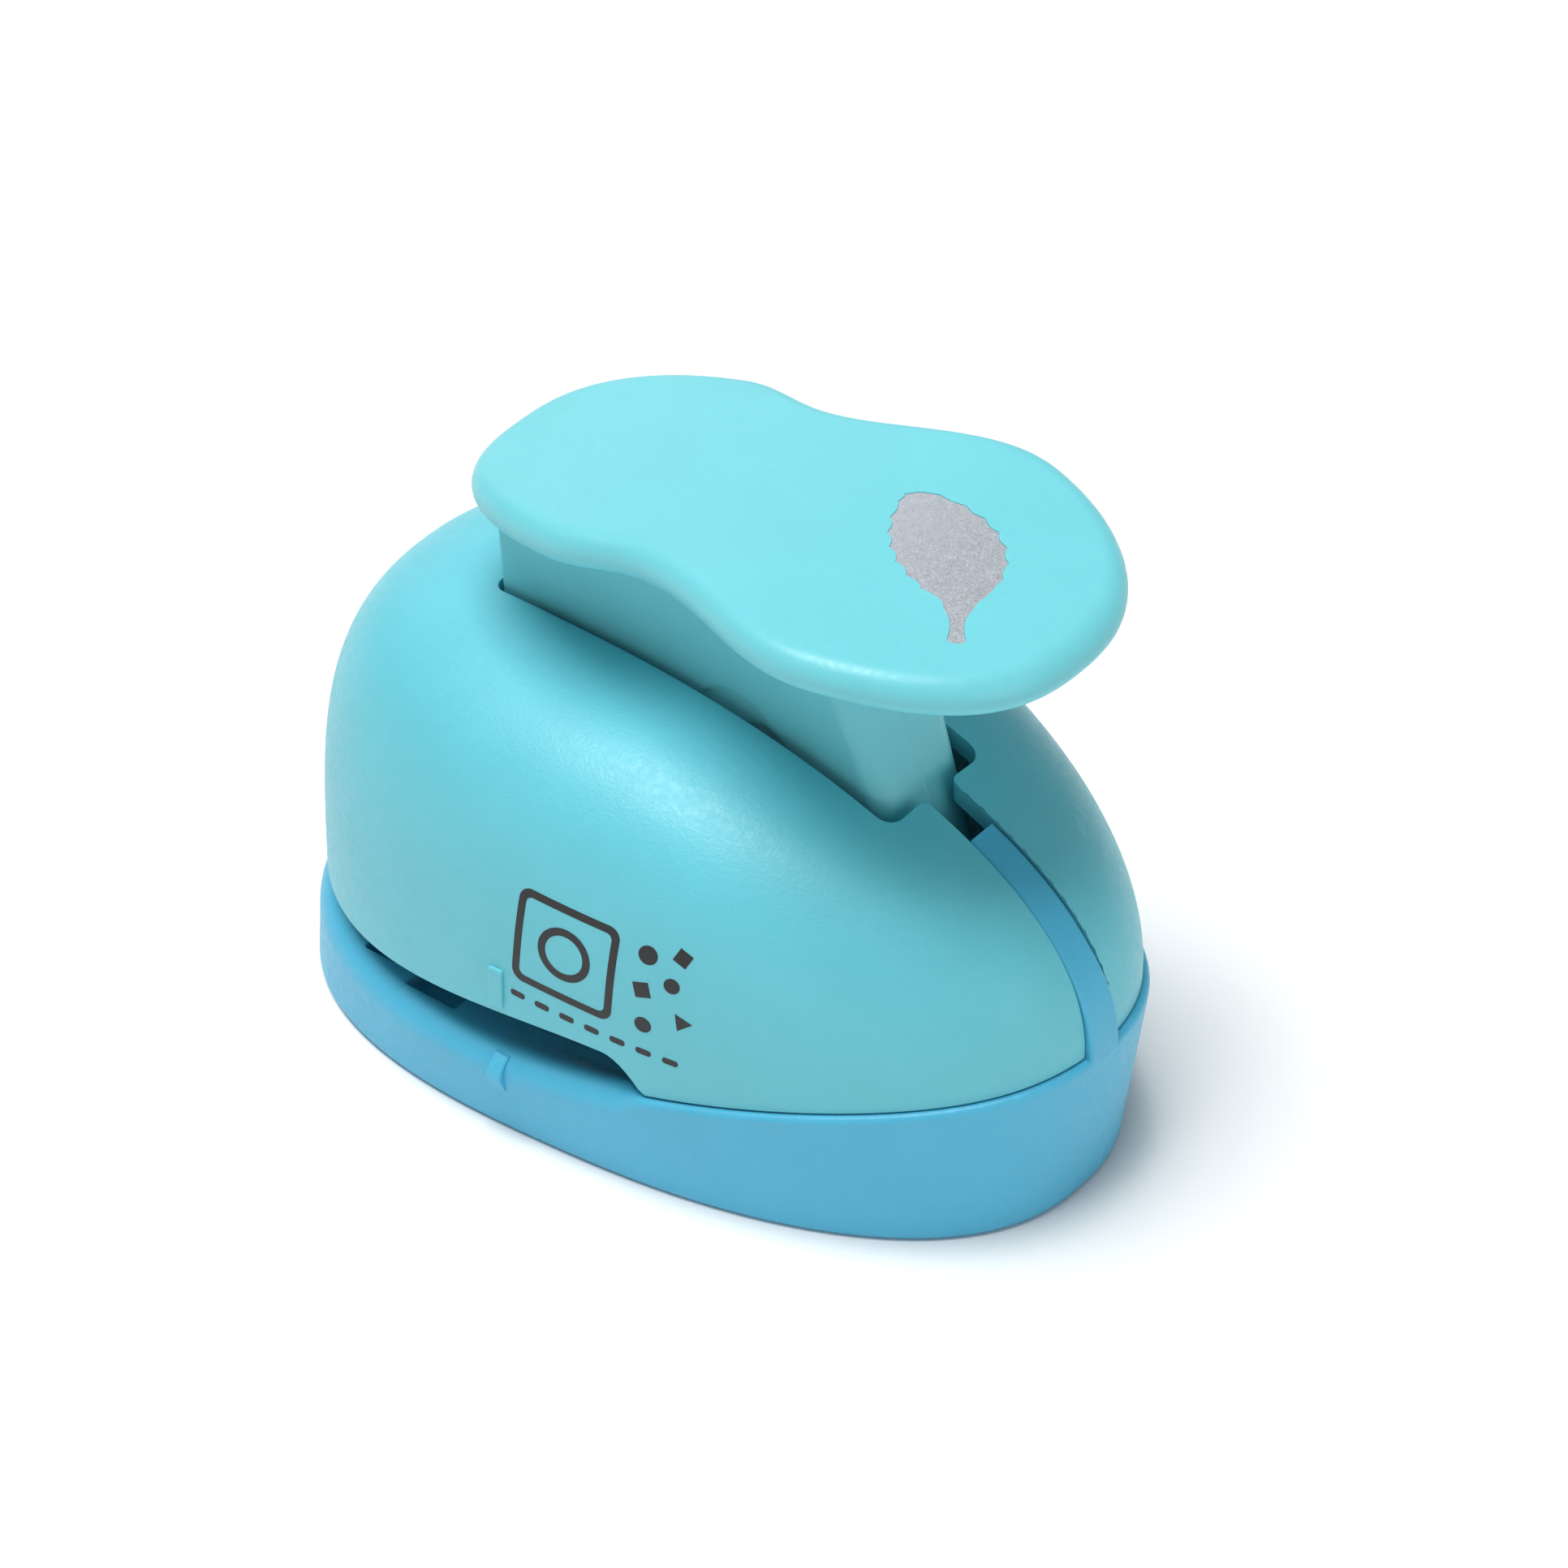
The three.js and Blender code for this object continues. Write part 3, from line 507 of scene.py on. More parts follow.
def base_mark(side):
    """A raised mark that runs up the base's wall and over its rounded rim."""
    wall, foot = mark_wall(0.0), mark_wall(0.0, foot=True)
    top = float(rim_height(MARK_X))
    roll = RIM_ROUND_FRONT
    spine = [(z, mix(foot, wall, z / top), 0.0) for z in np.linspace(BASE_MARK_LOW, top - roll, 4)]
    spine += [(top - roll + roll * math.sin(a), wall - roll * (1 - math.cos(a)), a)
              for a in np.linspace(0.1, 1.15, 10)]
    half = MARK_WIDTH / 2
    rows = []
    for i, (z, y, lean) in enumerate(spine):
        proud = MARK_PROUD * (1 if 0 < i < len(spine) - 1 else 0.05)
        out, up = math.cos(lean), math.sin(lean)
        section = [(-half, -1.0), (half, -1.0), (half, proud * 0.5), (half - 0.15, proud),
                   (0.15 - half, proud), (-half, proud * 0.5)]
        rows.append([(MARK_X + x, side * (y + rise * out), z + rise * up) for x, rise in section])
    return skin("mark", rows)


def base_wall():
    t = np.linspace(0, 2 * np.pi, BASE_STATIONS, endpoint=False)
    rim_x = egg(t, 0.0)[0]
    top = rim_height(rim_x)
    rear = rear_share(rim_x)
    round_r = mix(RIM_ROUND_FRONT, RIM_ROUND_REAR, rear)
    inner = mix(5.5, RIM_WALL, rear)

    def at(off, z):
        fx, fy = egg(t, off, foot=True)
        rx, ry = egg(t, off)
        share = z / top
        return np.stack([mix(fx, rx, share), mix(fy, ry, share), z + 0 * t], 1)

    sections = [at(2.4, 0 * t), at(0.9, 0 * t), at(0.55, 0.04 + 0 * t), at(0.2, 0.25 + 0 * t),
                at(0.04, 0.6 + 0 * t), at(0 * t, 0.95 + 0 * t)]
    sections += [at(0 * t, mix(0.95, top - round_r, share)) for share in (0.25, 0.5, 0.75, 0.93)]
    for a in np.linspace(0, np.pi / 2, 9):
        sections.append(at(round_r * (1 - math.cos(a)), top - round_r * (1 - math.sin(a))))
    for share in (0.3, 0.6, 0.85):
        slope = mix(top, mix(DECK_TOP, top, rear), smooth(share))
        sections.append(at(mix(round_r, inner, share), slope))
    level = mix(DECK_TOP, top, rear)
    sections.append(at(inner - 0.12 * rear, level))
    sections.append(at(inner, level - 0.12 * rear - 0.001))
    sections.append(at(inner, mix(6.2, 8, rear)))
    sections.append(at(2.8 + 0 * t, DECK_BOTTOM + 0 * t))
    return skin("fine_base", np.stack(sections, 1), ring=True)


def base_deck():
    t = np.linspace(0, 2 * np.pi, BASE_STATIONS, endpoint=False)
    x, y = egg(t, mix(4.2, 2.6, rear_share(egg(t, 0.0)[0])))
    rows = [np.stack([x, y, z + 0 * x], 1) for z in (DECK_BOTTOM, DECK_TOP - 0.001)]
    return skin("deck", rows)


def rear_rib():
    """The rib in the cover's rear channel; its foot comes out flush with the base's wall."""
    end = HALF_LENGTH - SHELL_INSET
    s = np.linspace(0, 1, 40)
    x = mix(RIB_FROM, end, np.sin(s * np.pi / 2))
    z = dome_height(x, 0 * x)
    sunk = mix(0.15, -0.62, smooth((s - 0.5) / 0.5))
    foot = [(HALF_LENGTH - 0.16, 17.2), (HALF_LENGTH - 0.4, 16.0), (HALF_LENGTH - 2, 12.0)]
    spine = np.concatenate([np.stack([x, z], 1), np.array(foot) - [0.62, 0]])
    sunk = np.concatenate([sunk, [-0.62, -0.4, 0]])
    along = np.gradient(spine, axis=0)
    along /= np.linalg.norm(along, axis=1)[:, None]
    inward = np.stack([along[:, 1], -along[:, 0]], 1)
    half = np.linspace(RIB_TOP, RIB_BOTTOM, len(spine))
    chamfer = 0.4
    section = [(0.0, -1)] + [(chamfer * (1 - math.sin(a)), -chamfer * (1 - math.cos(a)))
                             for a in np.linspace(np.pi / 2, 0, 5)]
    rows = []
    for p, n, h, d in zip(spine, inward, half, sunk):
        side = [(depth, h + move) for depth, move in section[1:]] + [(RIB_DEEP, h)]
        outline = [(depth, y) for depth, y in side] + [(depth, -y) for depth, y in side[::-1]]
        rows.append([(p[0] + n[0] * (d + depth), y, p[1] + n[1] * (d + depth)) for depth, y in outline])
    return skin("rib", rows)


def make_base():
    base = base_wall()
    boolean(base, base_deck(), "UNION")
    boolean(base, rear_rib(), "UNION")
    low, high = (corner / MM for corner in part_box("die_plate"))
    gap = 0.3
    levels = [(low.z - gap, 0), (DECK_TOP - 0.3, 0), (DECK_TOP, 0.3), (DECK_TOP + 1, 1.3)]
    pocket = block(low.x - gap, high.x + gap, low.y - gap, high.y + gap, levels, 1.0)
    boolean(base, pocket, "DIFFERENCE")
    levels = [(DECK_BOTTOM - 1, 1.5), (DECK_BOTTOM + 0.5, 0), (DECK_TOP, 0)]
    chute = block(DIE_X - CHUTE_HALF, DIE_X + CHUTE_HALF, -CHUTE_HALF, CHUTE_HALF, levels, 1.0)
    boolean(base, chute, "DIFFERENCE")
    levels = [(WINDOW_FLOOR, 0), (DECK_TOP - 0.2, 0), (DECK_TOP, 0.2), (DECK_TOP + 0.5, 0.7)]
    for x0, x1, outer in WINDOWS:
        for side in (-1, 1):
            y0, y1 = sorted((side * outer, side * WINDOW_INNER))
            boolean(base, block(x0, x1, y0, y1, levels, 0.35), "DIFFERENCE")
    for i in range(CASE_SCREWS):
        x, y = screw_place(f"case_screw_{i + 1}")
        hole = turned(x, y, [(SCREW_HOLE, DECK_BOTTOM - 1), (SCREW_HOLE, DECK_TOP + 1)], 32)
        boolean(base, hole, "DIFFERENCE")
    for side in (-1, 1):
        boolean(base, base_mark(side), "UNION")
    base_ribs(base)
    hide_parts("base")
    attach(base, "housing")
    return shade(base, 32)


def base_ribs(base):
    """Thin stiffening ribs under the deck, clear of the chute and the screw heads."""
    levels = [(2.2, -0.1), (2.4, 0), (DECK_BOTTOM + 0.5, 0)]
    for x in STIFFENERS:
        rib = block(x - 0.6, x + 0.6, -STIFFENER_HALF, STIFFENER_HALF, levels, 0.3)
        boolean(base, rib, "UNION")


# ---- press lever ----
PLATE_STATIONS = 300
WEB_TOP = PLATE_Z - 3


def plate_half(x):
    """The hourglass plate's half width at x along it."""
    front = mix(LOBE_FRONT, WAIST, smooth((x + PLATE_FRONT / 2) / (WAIST_AT + PLATE_FRONT / 2)))
    rear = mix(WAIST, LOBE_REAR, smooth((x - WAIST_AT) / (PLATE_REAR / 2 - WAIST_AT)))
    return np.where(x < WAIST_AT, front, rear)


def plate_drop(along):
    """How far the crowned plate falls away from its middle."""
    return np.where(along < 0, CROWN_FRONT, CROWN_REAR) * along * along


def plate_point(along, across, up):
    """From the plate's own plane (along, across, up from its middle layer) to the row frame."""
    lift = up - plate_drop(along)
    c, s = math.cos(PLATE_TILT), math.sin(PLATE_TILT)
    x, y, z = np.broadcast_arrays(PLATE_X + along * c - lift * s, across, PLATE_Z + along * s + lift * c)
    return np.stack([x, y, z], -1)


def plate_over(x, y, up):
    """The plate's layer at height up over a plan place."""
    along = (x - PLATE_X) / math.cos(PLATE_TILT)
    for _ in range(4):
        lift = up - plate_drop(along)
        along = (x - PLATE_X + lift * math.sin(PLATE_TILT)) / math.cos(PLATE_TILT)
    return plate_point(along, y, up)


def plate_loop(off, up, squeeze=1.0):
    """The plate's outline drawn in by off, at height up over its middle layer."""
    t = np.linspace(0, 2 * np.pi, PLATE_STATIONS, endpoint=False)
    c, s = np.cos(t), np.sin(t)
    power = np.where(c < 0, LOBE_FRONT_POWER, LOBE_REAR_POWER)
    u, v = signed_power(c, 2 / power), signed_power(s, 2 / power)
    along = u * (np.where(u < 0, PLATE_FRONT, PLATE_REAR) - off)
    return plate_point(along, v * (plate_half(along) - off) * squeeze, up)


def press_plate():
    half = PLATE_THICK / 2
    rows = [plate_loop(PLATE_ROUND, -half, share) for share in (0.0, 0.3, 0.6, 0.85)]
    for a in np.linspace(-np.pi / 2, np.pi / 2, 15):
        bulge = PLATE_ROUND * (1 - math.cos(a))
        rows.append(plate_loop(bulge, half * math.sin(a)))
    rows += [plate_loop(PLATE_ROUND, half, share) for share in np.linspace(0.94, 0.0, 14)]
    return skin("plate", rows, caps=False)


def web_bottom(inset):
    return WEB_BOTTOM if inset <= 0 else WEB_BOTTOM - 4


def web_loop(level, share, inset, drop):
    """A loop of the web, as wide as it is at this level, at this share of the way up to the plate."""
    half = WEB_TOP_HALF - WEB_DRAFT * (PLATE_Z - 5 - level) - inset
    rear = WEB_REAR_AT + WEB_LEAN * (WEB_REAR_Z - level) - inset
    outline = rounded_rect(WEB_FRONT + inset, rear, -half, half, max(0.5, WEB_REAR_CORNER - inset * 0.7),
                           left_radius=max(0.4, WEB_FRONT_CORNER - inset * 0.2))
    if inset <= 0:
        outline += [(rear, -0.22), (rear + 0.1, -0.05), (rear + 0.1, 0.05), (rear, 0.22)]
    points = np.array(outline)
    ceiling = plate_over(points[:, 0], points[:, 1], 0.0)[:, 2] - drop
    return np.stack([points[:, 0], points[:, 1], mix(web_bottom(inset), ceiling, share)], 1)


def web_solid(inset, drop):
    """The web's box; on the outside it flares into the plate with a small fillet."""
    bottom = web_bottom(inset)
    span = WEB_TOP - bottom
    rows = [web_loop(mix(bottom, WEB_TOP, share), share, inset, drop) for share in np.linspace(0, 0.9, 12)]
    if inset <= 0:
        for a in np.linspace(0, np.pi / 2, 6):
            flare = WEB_FILLET * (1 - math.cos(a))
            share = (span - 2.0) / span - (WEB_FILLET * (1 - math.sin(a))) / span
            rows.append(web_loop(mix(bottom, WEB_TOP, share), share, inset - flare, drop))
    rows.append(web_loop(WEB_TOP, 1.0, inset - WEB_FILLET if inset <= 0 else inset, drop))
    return skin("web", rows)


def leaf_outline(grow=0.0):
    """The leaf's outline about its middle: a toothed blade, fuller on one side, and a bent stem."""
    steps = LEAF_TEETH * 12

    def blade(sign):
        t = np.arange(1, steps - 3) / steps
        if sign > 0:
            side = LEAF_FULL_SIDE * np.sin(np.pi * t**1.12) ** 0.55
        else:
            side = LEAF_LEAN_SIDE * np.sin(np.pi * t**0.95) ** 0.8
        side = np.maximum(mix(LEAF_TIP_HALF, LEAF_NECK_HALF, t), side)
        peak = 1 - np.abs(np.sin(np.pi * (LEAF_TEETH * t - 0.5)))
        tooth = LEAF_TOOTH * peak * smooth((0.88 - t) / 0.08)
        return np.stack([t * LEAF_LENGTH, sign * (side + tooth)], 1)

    def stem(sign):
        c, s = math.cos(LEAF_STEM_BEND), math.sin(LEAF_STEM_BEND)
        run, half = np.array(STEM_HALVES).T
        return np.stack([LEAF_LENGTH + run * c - sign * half * s, run * s + sign * half * c], 1)

    flat = np.concatenate([blade(1), stem(1), stem(-1)[::-1], blade(-1)[::-1]])
    flat -= [(LEAF_LENGTH + LEAF_STEM) / 2, 0]
    along = np.roll(flat, -1, 0) - np.roll(flat, 1, 0)
    along /= np.linalg.norm(along, axis=1)[:, None]
    flat = flat + np.stack([-along[:, 1], along[:, 0]], 1) * grow
    c, s = math.cos(LEAF_TURN), math.sin(LEAF_TURN)
    return np.stack([flat[:, 0] * c - flat[:, 1] * s, flat[:, 0] * s + flat[:, 1] * c], 1)


def flat_mesh(name, outlines, cell):
    """Triangles filling these closed outlines, holes included, with no edge longer than cell (mm)."""
    curve = bpy.data.curves.new(name, "CURVE")
    curve.dimensions = "2D"
    curve.fill_mode = "BOTH"
    for outline in outlines:
        spline = curve.splines.new("POLY")
        spline.points.add(len(outline) - 1)
        for point, (x, y) in zip(spline.points, outline):
            point.co = (x * MM, y * MM, 0, 1)
        spline.use_cyclic_u = True
    holder = bpy.data.objects.new(name, curve)
    bpy.context.scene.collection.objects.link(holder)
    bpy.context.view_layer.update()
    mesh = bpy.data.meshes.new_from_object(holder.evaluated_get(bpy.context.evaluated_depsgraph_get()))
    bpy.data.objects.remove(holder)
    work = bmesh.new()
    work.from_mesh(mesh)
    bmesh.ops.remove_doubles(work, verts=work.verts, dist=1e-7)
    for _ in range(6):
        long = [e for e in work.edges if e.calc_length() > cell * MM]
        if not long:
            break
        bmesh.ops.subdivide_edges(work, edges=long, cuts=1)
        bmesh.ops.triangulate(work, faces=[f for f in work.faces if len(f.verts) > 3])
    work.to_mesh(mesh)
    work.free()
    obj = bpy.data.objects.new(name, mesh)
    bpy.context.scene.collection.objects.link(obj)
    return obj


def wrap(obj, place_low, place_high):
    """Turns a flat mesh into a closed layer between two surfaces, each a function of (x, y) in mm."""
    work = bmesh.new()
    work.from_mesh(obj.data)
    plan = np.array([v.co[:2] for v in work.verts]) / MM
    high = place_high(plan[:, 0], plan[:, 1])
    low = place_low(plan[:, 0], plan[:, 1])
    tris = [[v.index for v in f.verts] for f in work.faces]
    border = [[v.index for v in e.verts] for e in work.edges if e.is_boundary]
    work.free()
    count = len(plan)
    faces = [tuple(t) for t in tris] + [tuple(i + count for i in t[::-1]) for t in tris]
    faces += [(a, b, b + count, a + count) for a, b in border]
    name = obj.name
    bpy.data.objects.remove(obj)
    return weld_and_face_out(new_object(name, np.concatenate([high, low]), faces), 0.0001)


def leaf_layer(name, low, high, grow, cell):
    """The leaf as a layer from low to high over the plate's top face, grown outwards by grow."""
    outline = leaf_outline(grow) + [LEAF_X, LEAF_Y]
    half = PLATE_THICK / 2
    return wrap(flat_mesh(name, [outline], cell), lambda x, y: plate_over(x, y, half + low),
                lambda x, y: plate_over(x, y, half + high))


def make_lever():
    lever = press_plate()
    web = web_solid(0.0, 0.0)
    boolean(web, web_solid(WEB_WALL, 4.0), "DIFFERENCE")
    for side in (-1, 1):
        for x, z, depth_from, radius in WEB_RECESSES:
            recess = cross_bar(x, z, *sorted((side * depth_from, side * 9)), radius)
            boolean(web, recess, "DIFFERENCE")
    boolean(web, cross_bar(PIVOT_X, PIVOT_Z, -BARREL_HALF, BARREL_HALF, BARREL), "UNION")
    boolean(web, cross_bar(DIE_X + 0.5, PIVOT_Z, -PRESSER_BAR_HALF, PRESSER_BAR_HALF, PRESSER_BAR), "UNION")
    boolean(web, cross_bar(PIVOT_X, PIVOT_Z, -8, 8, BARREL_HOLE), "DIFFERENCE")
    boolean(lever, web, "UNION")
    boolean(lever, leaf_layer("leaf_bed", -FOIL_SUNK - FOIL_THICK, 2.0, 0.03, 1.5), "DIFFERENCE")
    lever.name = "lever"
    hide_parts("press_lever")
    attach(lever, "lever")
    foil = leaf_layer("leaf", -FOIL_SUNK - FOIL_THICK, -FOIL_SUNK, 0.0, 1.0)
    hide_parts("leaf_foil")
    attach(foil, "lever")
    return shade(lever, 30), foil


# ---- generic printed mark: a sheet with a punched round hole, a dashed feed line and chips ----
PRINT_X, PRINT_Z, PRINT_TILT, PRINT_SIZE = 3.6, 23.2, math.radians(-3), 1.12
PRINT_SUNK, PRINT_PROUD = 0.05, 0.025


def side_wall(x, z, proud):
    """The cover's near wall over plan place x at height z, moved out by proud."""
    low = np.zeros_like(x)
    high = dome_side(x)
    for _ in range(40):
        y = (low + high) / 2
        above = dome_height(x, -y) > z
        low = np.where(above, y, low)
        high = np.where(above, high, y)
    y = -(low + high) / 2
    return np.stack([x, y - proud, z], -1)


def dome_side(x):
    """The cover's half width at its foot, over plan place x."""
    u = x / (HALF_LENGTH - SHELL_INSET)
    power = np.where(u < 0, FRONT_POWER, REAR_POWER)
    width = (HALF_WIDTH - SHELL_INSET) * (1 - TAPER * u)
    return width * np.maximum(0, 1 - np.abs(u) ** power) ** (1 / power)


def ring_of(x, y, radius, count=40, phase=0.0):
    """A circle, or a regular chip of count corners."""
    t = np.arange(count) * 2 * np.pi / count + phase
    return [(x + radius * math.cos(a), y + radius * math.sin(a)) for a in t]


def print_outlines():
    outlines = [
        rounded_rect(-7.2, 2.4, -3.4, 5.8, 1.1, 6),
        rounded_rect(-6.5, 1.7, -2.7, 5.1, 0.6, 6)[::-1],
        ring_of(-2.4, 1.2, 2.5),
        ring_of(-2.4, 1.2, 1.8)[::-1],
    ]
    outlines += [rounded_rect(-7.2 + 2.4 * i, -5.8 + 2.4 * i, -5.3, -4.7, 0.25, 3) for i in range(7)]
    outlines += [ring_of(5.0, 4.6, 0.85), ring_of(7.4, 2.6, 0.7), ring_of(5.3, -2.2, 0.75)]
    outlines += [ring_of(7.9, 5.4, 0.9, 4, 0.4), ring_of(4.9, 1.2, 1.0, 4, 1.1)]
    outlines += [ring_of(8.6, -0.6, 0.95, 3, 0.2)]
    return outlines


def make_print():
    c, s = math.cos(PRINT_TILT), math.sin(PRINT_TILT)
    outlines = [[(PRINT_X + (u * c - v * s) * PRINT_SIZE, PRINT_Z + (u * s + v * c) * PRINT_SIZE)
                 for u, v in outline] for outline in print_outlines()]
    flat = flat_mesh("side_print", outlines, 0.8)
    mark = wrap(flat, lambda x, z: side_wall(x, z, -PRINT_SUNK), lambda x, z: side_wall(x, z, PRINT_PROUD))
    mark.name = "side_print"
    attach(mark, "housing")
    return shade(mark, 50)


# ---- the steel works inside ----
def edge_rounded(node, width, angle=35):
    """A copy of a CAD node's mesh with its sharp edges rounded off."""
    source = bpy.data.objects[node]
    copy = bpy.data.objects.new("fine_" + node, source.data.copy())
    copy.data.materials.clear()
    bpy.context.scene.collection.objects.link(copy)
    work = bmesh.new()
    work.from_mesh(copy.data)
    bmesh.ops.remove_doubles(work, verts=work.verts, dist=1e-6)
    bmesh.ops.dissolve_limit(work, angle_limit=math.radians(1), verts=work.verts, edges=work.edges)
    work.to_mesh(copy.data)
    work.free()
    bevel(copy, width, 2, angle)
    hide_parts(node)
    return shade(copy, 30)


def make_spring(hand, x, y):
    """A round-wire compression spring with closed, ground-looking end turns."""
    low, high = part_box("return_spring_" + hand)
    coil, wire, turns = SPRING_COIL, SPRING_WIRE, SPRING_TURNS
    bottom, top = low.z / MM + wire, high.z / MM - wire
    steps = turns * 36
    spine = []
    for i in range(steps + 1):
        t = i / steps
        rise = np.clip((t * turns - 0.75) / (turns - 1.5), 0, 1)
        lift = wire * 0.75 * (min(1, t * turns / 0.75) - 1) + wire * 0.75
        fall = wire * 0.75 * min(1, max(0, (t * turns - turns + 0.75) / 0.75))
        z = mix(bottom, top - 1.5 * wire, rise) + lift + fall
        a = 2 * math.pi * turns * t
        spine.append((x + coil * math.cos(a), y + coil * math.sin(a), z))
    spine = np.array(spine)
    along = np.gradient(spine, axis=0)
    along /= np.linalg.norm(along, axis=1)[:, None]
    out = spine - [x, y, 0]
    out[:, 2] = 0
    out /= np.linalg.norm(out, axis=1)[:, None]
    up = np.cross(along, out)
    section = np.linspace(0, 2 * np.pi, 13)[:-1]
    rows = [[p + wire * (math.cos(a) * o + math.sin(a) * u) for a in section]
            for p, o, u in zip(spine, out, up)]
    spring = skin("spring_" + hand, rows)
    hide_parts("return_spring_" + hand)
    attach(spring, "housing")
    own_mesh(spring)
    return shade(spring, 60)


# ---- fastenings ----
def cross_recess(x, y, z0, z1, reach):
    """A cutter for a cross-head recess, tapering towards z1."""
    arms = []
    for turn in (0, math.pi / 2):
        c, s = math.cos(turn), math.sin(turn)
        rows = []
        for z, share in ((z0, 1.0), (z1, 0.45)):
            flat = [(-reach, -0.22), (reach, -0.22), (reach, 0.22), (-reach, 0.22)]
            rows.append([(x + (u * c - v * s) * share, y + (u * s + v * c) * share, z) for u, v in flat])
        arms.append(skin("arm", rows))
    boolean(arms[0], arms[1], "UNION")
    return arms[0]


def thread_levels(radius, z0, z1, pitch, depth):
    """Ring-shaped thread crests from z0 up to z1."""
    levels = [(radius - depth, z0)]
    for i in range(int((z1 - z0) / pitch)):
        z = z0 + i * pitch
        levels += [(radius - depth, z + 0.1 * pitch), (radius, z + 0.42 * pitch),
                   (radius, z + 0.58 * pitch), (radius - depth, z + 0.9 * pitch)]
    return levels + [(radius - depth, z1 - 0.3), (radius * 0.35, z1)]


def make_screw(node):
    """A cross-head screw seen from below: rounded pan head down, threaded shank up."""
    low, high = (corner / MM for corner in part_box(node))
    x, y = (low.x + high.x) / 2, (low.y + high.y) / 2
    head = (high.x - low.x) / 2 * 0.985
    shank = head * 0.52
    bottom = low.z
    levels = [(0.02, bottom), (head * 0.6, bottom), (head * 0.86, bottom + 0.12),
              (head * 0.97, bottom + 0.4), (head, bottom + 0.75), (head, bottom + 1.35),
              (shank, bottom + 1.4)]
    levels += thread_levels(shank, bottom + 1.5, high.z - 0.02, 0.8, 0.16)[1:]
    screw = turned(x, y, levels, 40)
    boolean(screw, cross_recess(x, y, bottom - 0.2, bottom + 1.0, head * 0.55), "DIFFERENCE")
    screw.name = "fine_" + node
    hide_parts(node)
    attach(screw, "housing")
    return shade(screw, 40)


# ---- materials ----
def material(name, build):
    made = bpy.data.materials.new(name)
    made.use_nodes = True
    tree = made.node_tree
    shader = tree.nodes["Principled BSDF"]
    build(tree, shader)
    return made


def node(tree, kind, **values):
    made = tree.nodes.new(kind)
    for key, value in values.items():
        if hasattr(made, key):
            setattr(made, key, value)
        else:
            made.inputs[key.replace("_", " ")].default_value = value
    return made


def place_coords(tree, stretch=(1, 1, 1)):
    coords = node(tree, "ShaderNodeTexCoord")
    mapping = node(tree, "ShaderNodeMapping")
    mapping.inputs["Scale"].default_value = stretch
    tree.links.new(coords.outputs["Object"], mapping.inputs["Vector"])
    return mapping.outputs["Vector"]


def noise(tree, where, size, detail=2.0, rough=0.5):
    """Noise whose features are about size millimetres."""
    made = node(tree, "ShaderNodeTexNoise", Scale=1000.0 / size, Detail=detail, Roughness=rough)
    tree.links.new(where, made.inputs["Vector"])
    return made.outputs["Fac"]


def ramp(tree, value, low, high, low_colour, high_colour):
    made = node(tree, "ShaderNodeValToRGB")
    made.color_ramp.elements[0].position = low
    made.color_ramp.elements[1].position = high
    made.color_ramp.elements[0].color = (*low_colour, 1)
    made.color_ramp.elements[1].color = (*high_colour, 1)
    tree.links.new(value, made.inputs["Fac"])
    return made.outputs["Color"]


def spread(tree, value, low, high, to_low, to_high):
    """The value mapped from low..high to to_low..to_high."""
    made = node(tree, "ShaderNodeMapRange")
    for key, number in (("From Min", low), ("From Max", high), ("To Min", to_low), ("To Max", to_high)):
        made.inputs[key].default_value = number
    tree.links.new(value, made.inputs["Value"])
    return made.outputs["Result"]


def add_bump(tree, height, distance, strength, before=None):
    made = node(tree, "ShaderNodeBump")
    made.inputs["Strength"].default_value = strength
    made.inputs["Distance"].default_value = distance
    tree.links.new(height, made.inputs["Height"])
    if before is not None:
        tree.links.new(before, made.inputs["Normal"])
    return made.outputs["Normal"]


def tint(colour, factor):
    return tuple(min(1.0, c * factor) for c in colour)


def painted_edge_highlight(tree, colour, pale):
    """The colour with a painted highlight, mixed paler along raised edges."""
    geometry = node(tree, "ShaderNodeNewGeometry")
    edge = spread(tree, geometry.outputs["Pointiness"], 0.52, 0.6, 0.0, 0.35)
    made = node(tree, "ShaderNodeMix", data_type="RGBA")
    tree.links.new(edge, made.inputs["Factor"])
    tree.links.new(colour, made.inputs["A"])
    made.inputs["B"].default_value = (*pale, 1)
    return made.outputs["Result"]


def moulded(colour, grain, depth, rough, mottle=0.05, pale=1.25):
    """Injection-moulded plastic with a spark-eroded texture of the given grain (mm) and depth (mm)."""
    def build(tree, shader):
        where = place_coords(tree)
        cloud = noise(tree, where, 9.0, 3.0)
        fine = noise(tree, where, grain, 3.0, 0.6)
        speck = noise(tree, where, grain * 2.3, 1.0)
        base = ramp(tree, cloud, 0.3, 0.7, tint(colour, 1 - mottle), tint(colour, 1 + mottle))
        # painted highlight: the base colour is mixed paler along raised edges
        tree.links.new(painted_edge_highlight(tree, base, tint(colour, pale)), shader.inputs["Base Color"])
        tree.links.new(spread(tree, speck, 0.3, 0.7, rough - 0.06, rough + 0.08), shader.inputs["Roughness"])
        grainy = add_bump(tree, fine, depth * MM, 0.9)
        uneven = add_bump(tree, noise(tree, where, 16.0, 1.0), 0.03 * MM, 0.2, grainy)
        tree.links.new(uneven, shader.inputs["Normal"])
        shader.inputs["Specular IOR Level"].default_value = 0.42
        shader.inputs["Subsurface Weight"].default_value = 0.06
        shader.inputs["Subsurface Radius"].default_value = (0.4, 0.8, 1.0)
        shader.inputs["Subsurface Scale"].default_value = 0.0012
    return build


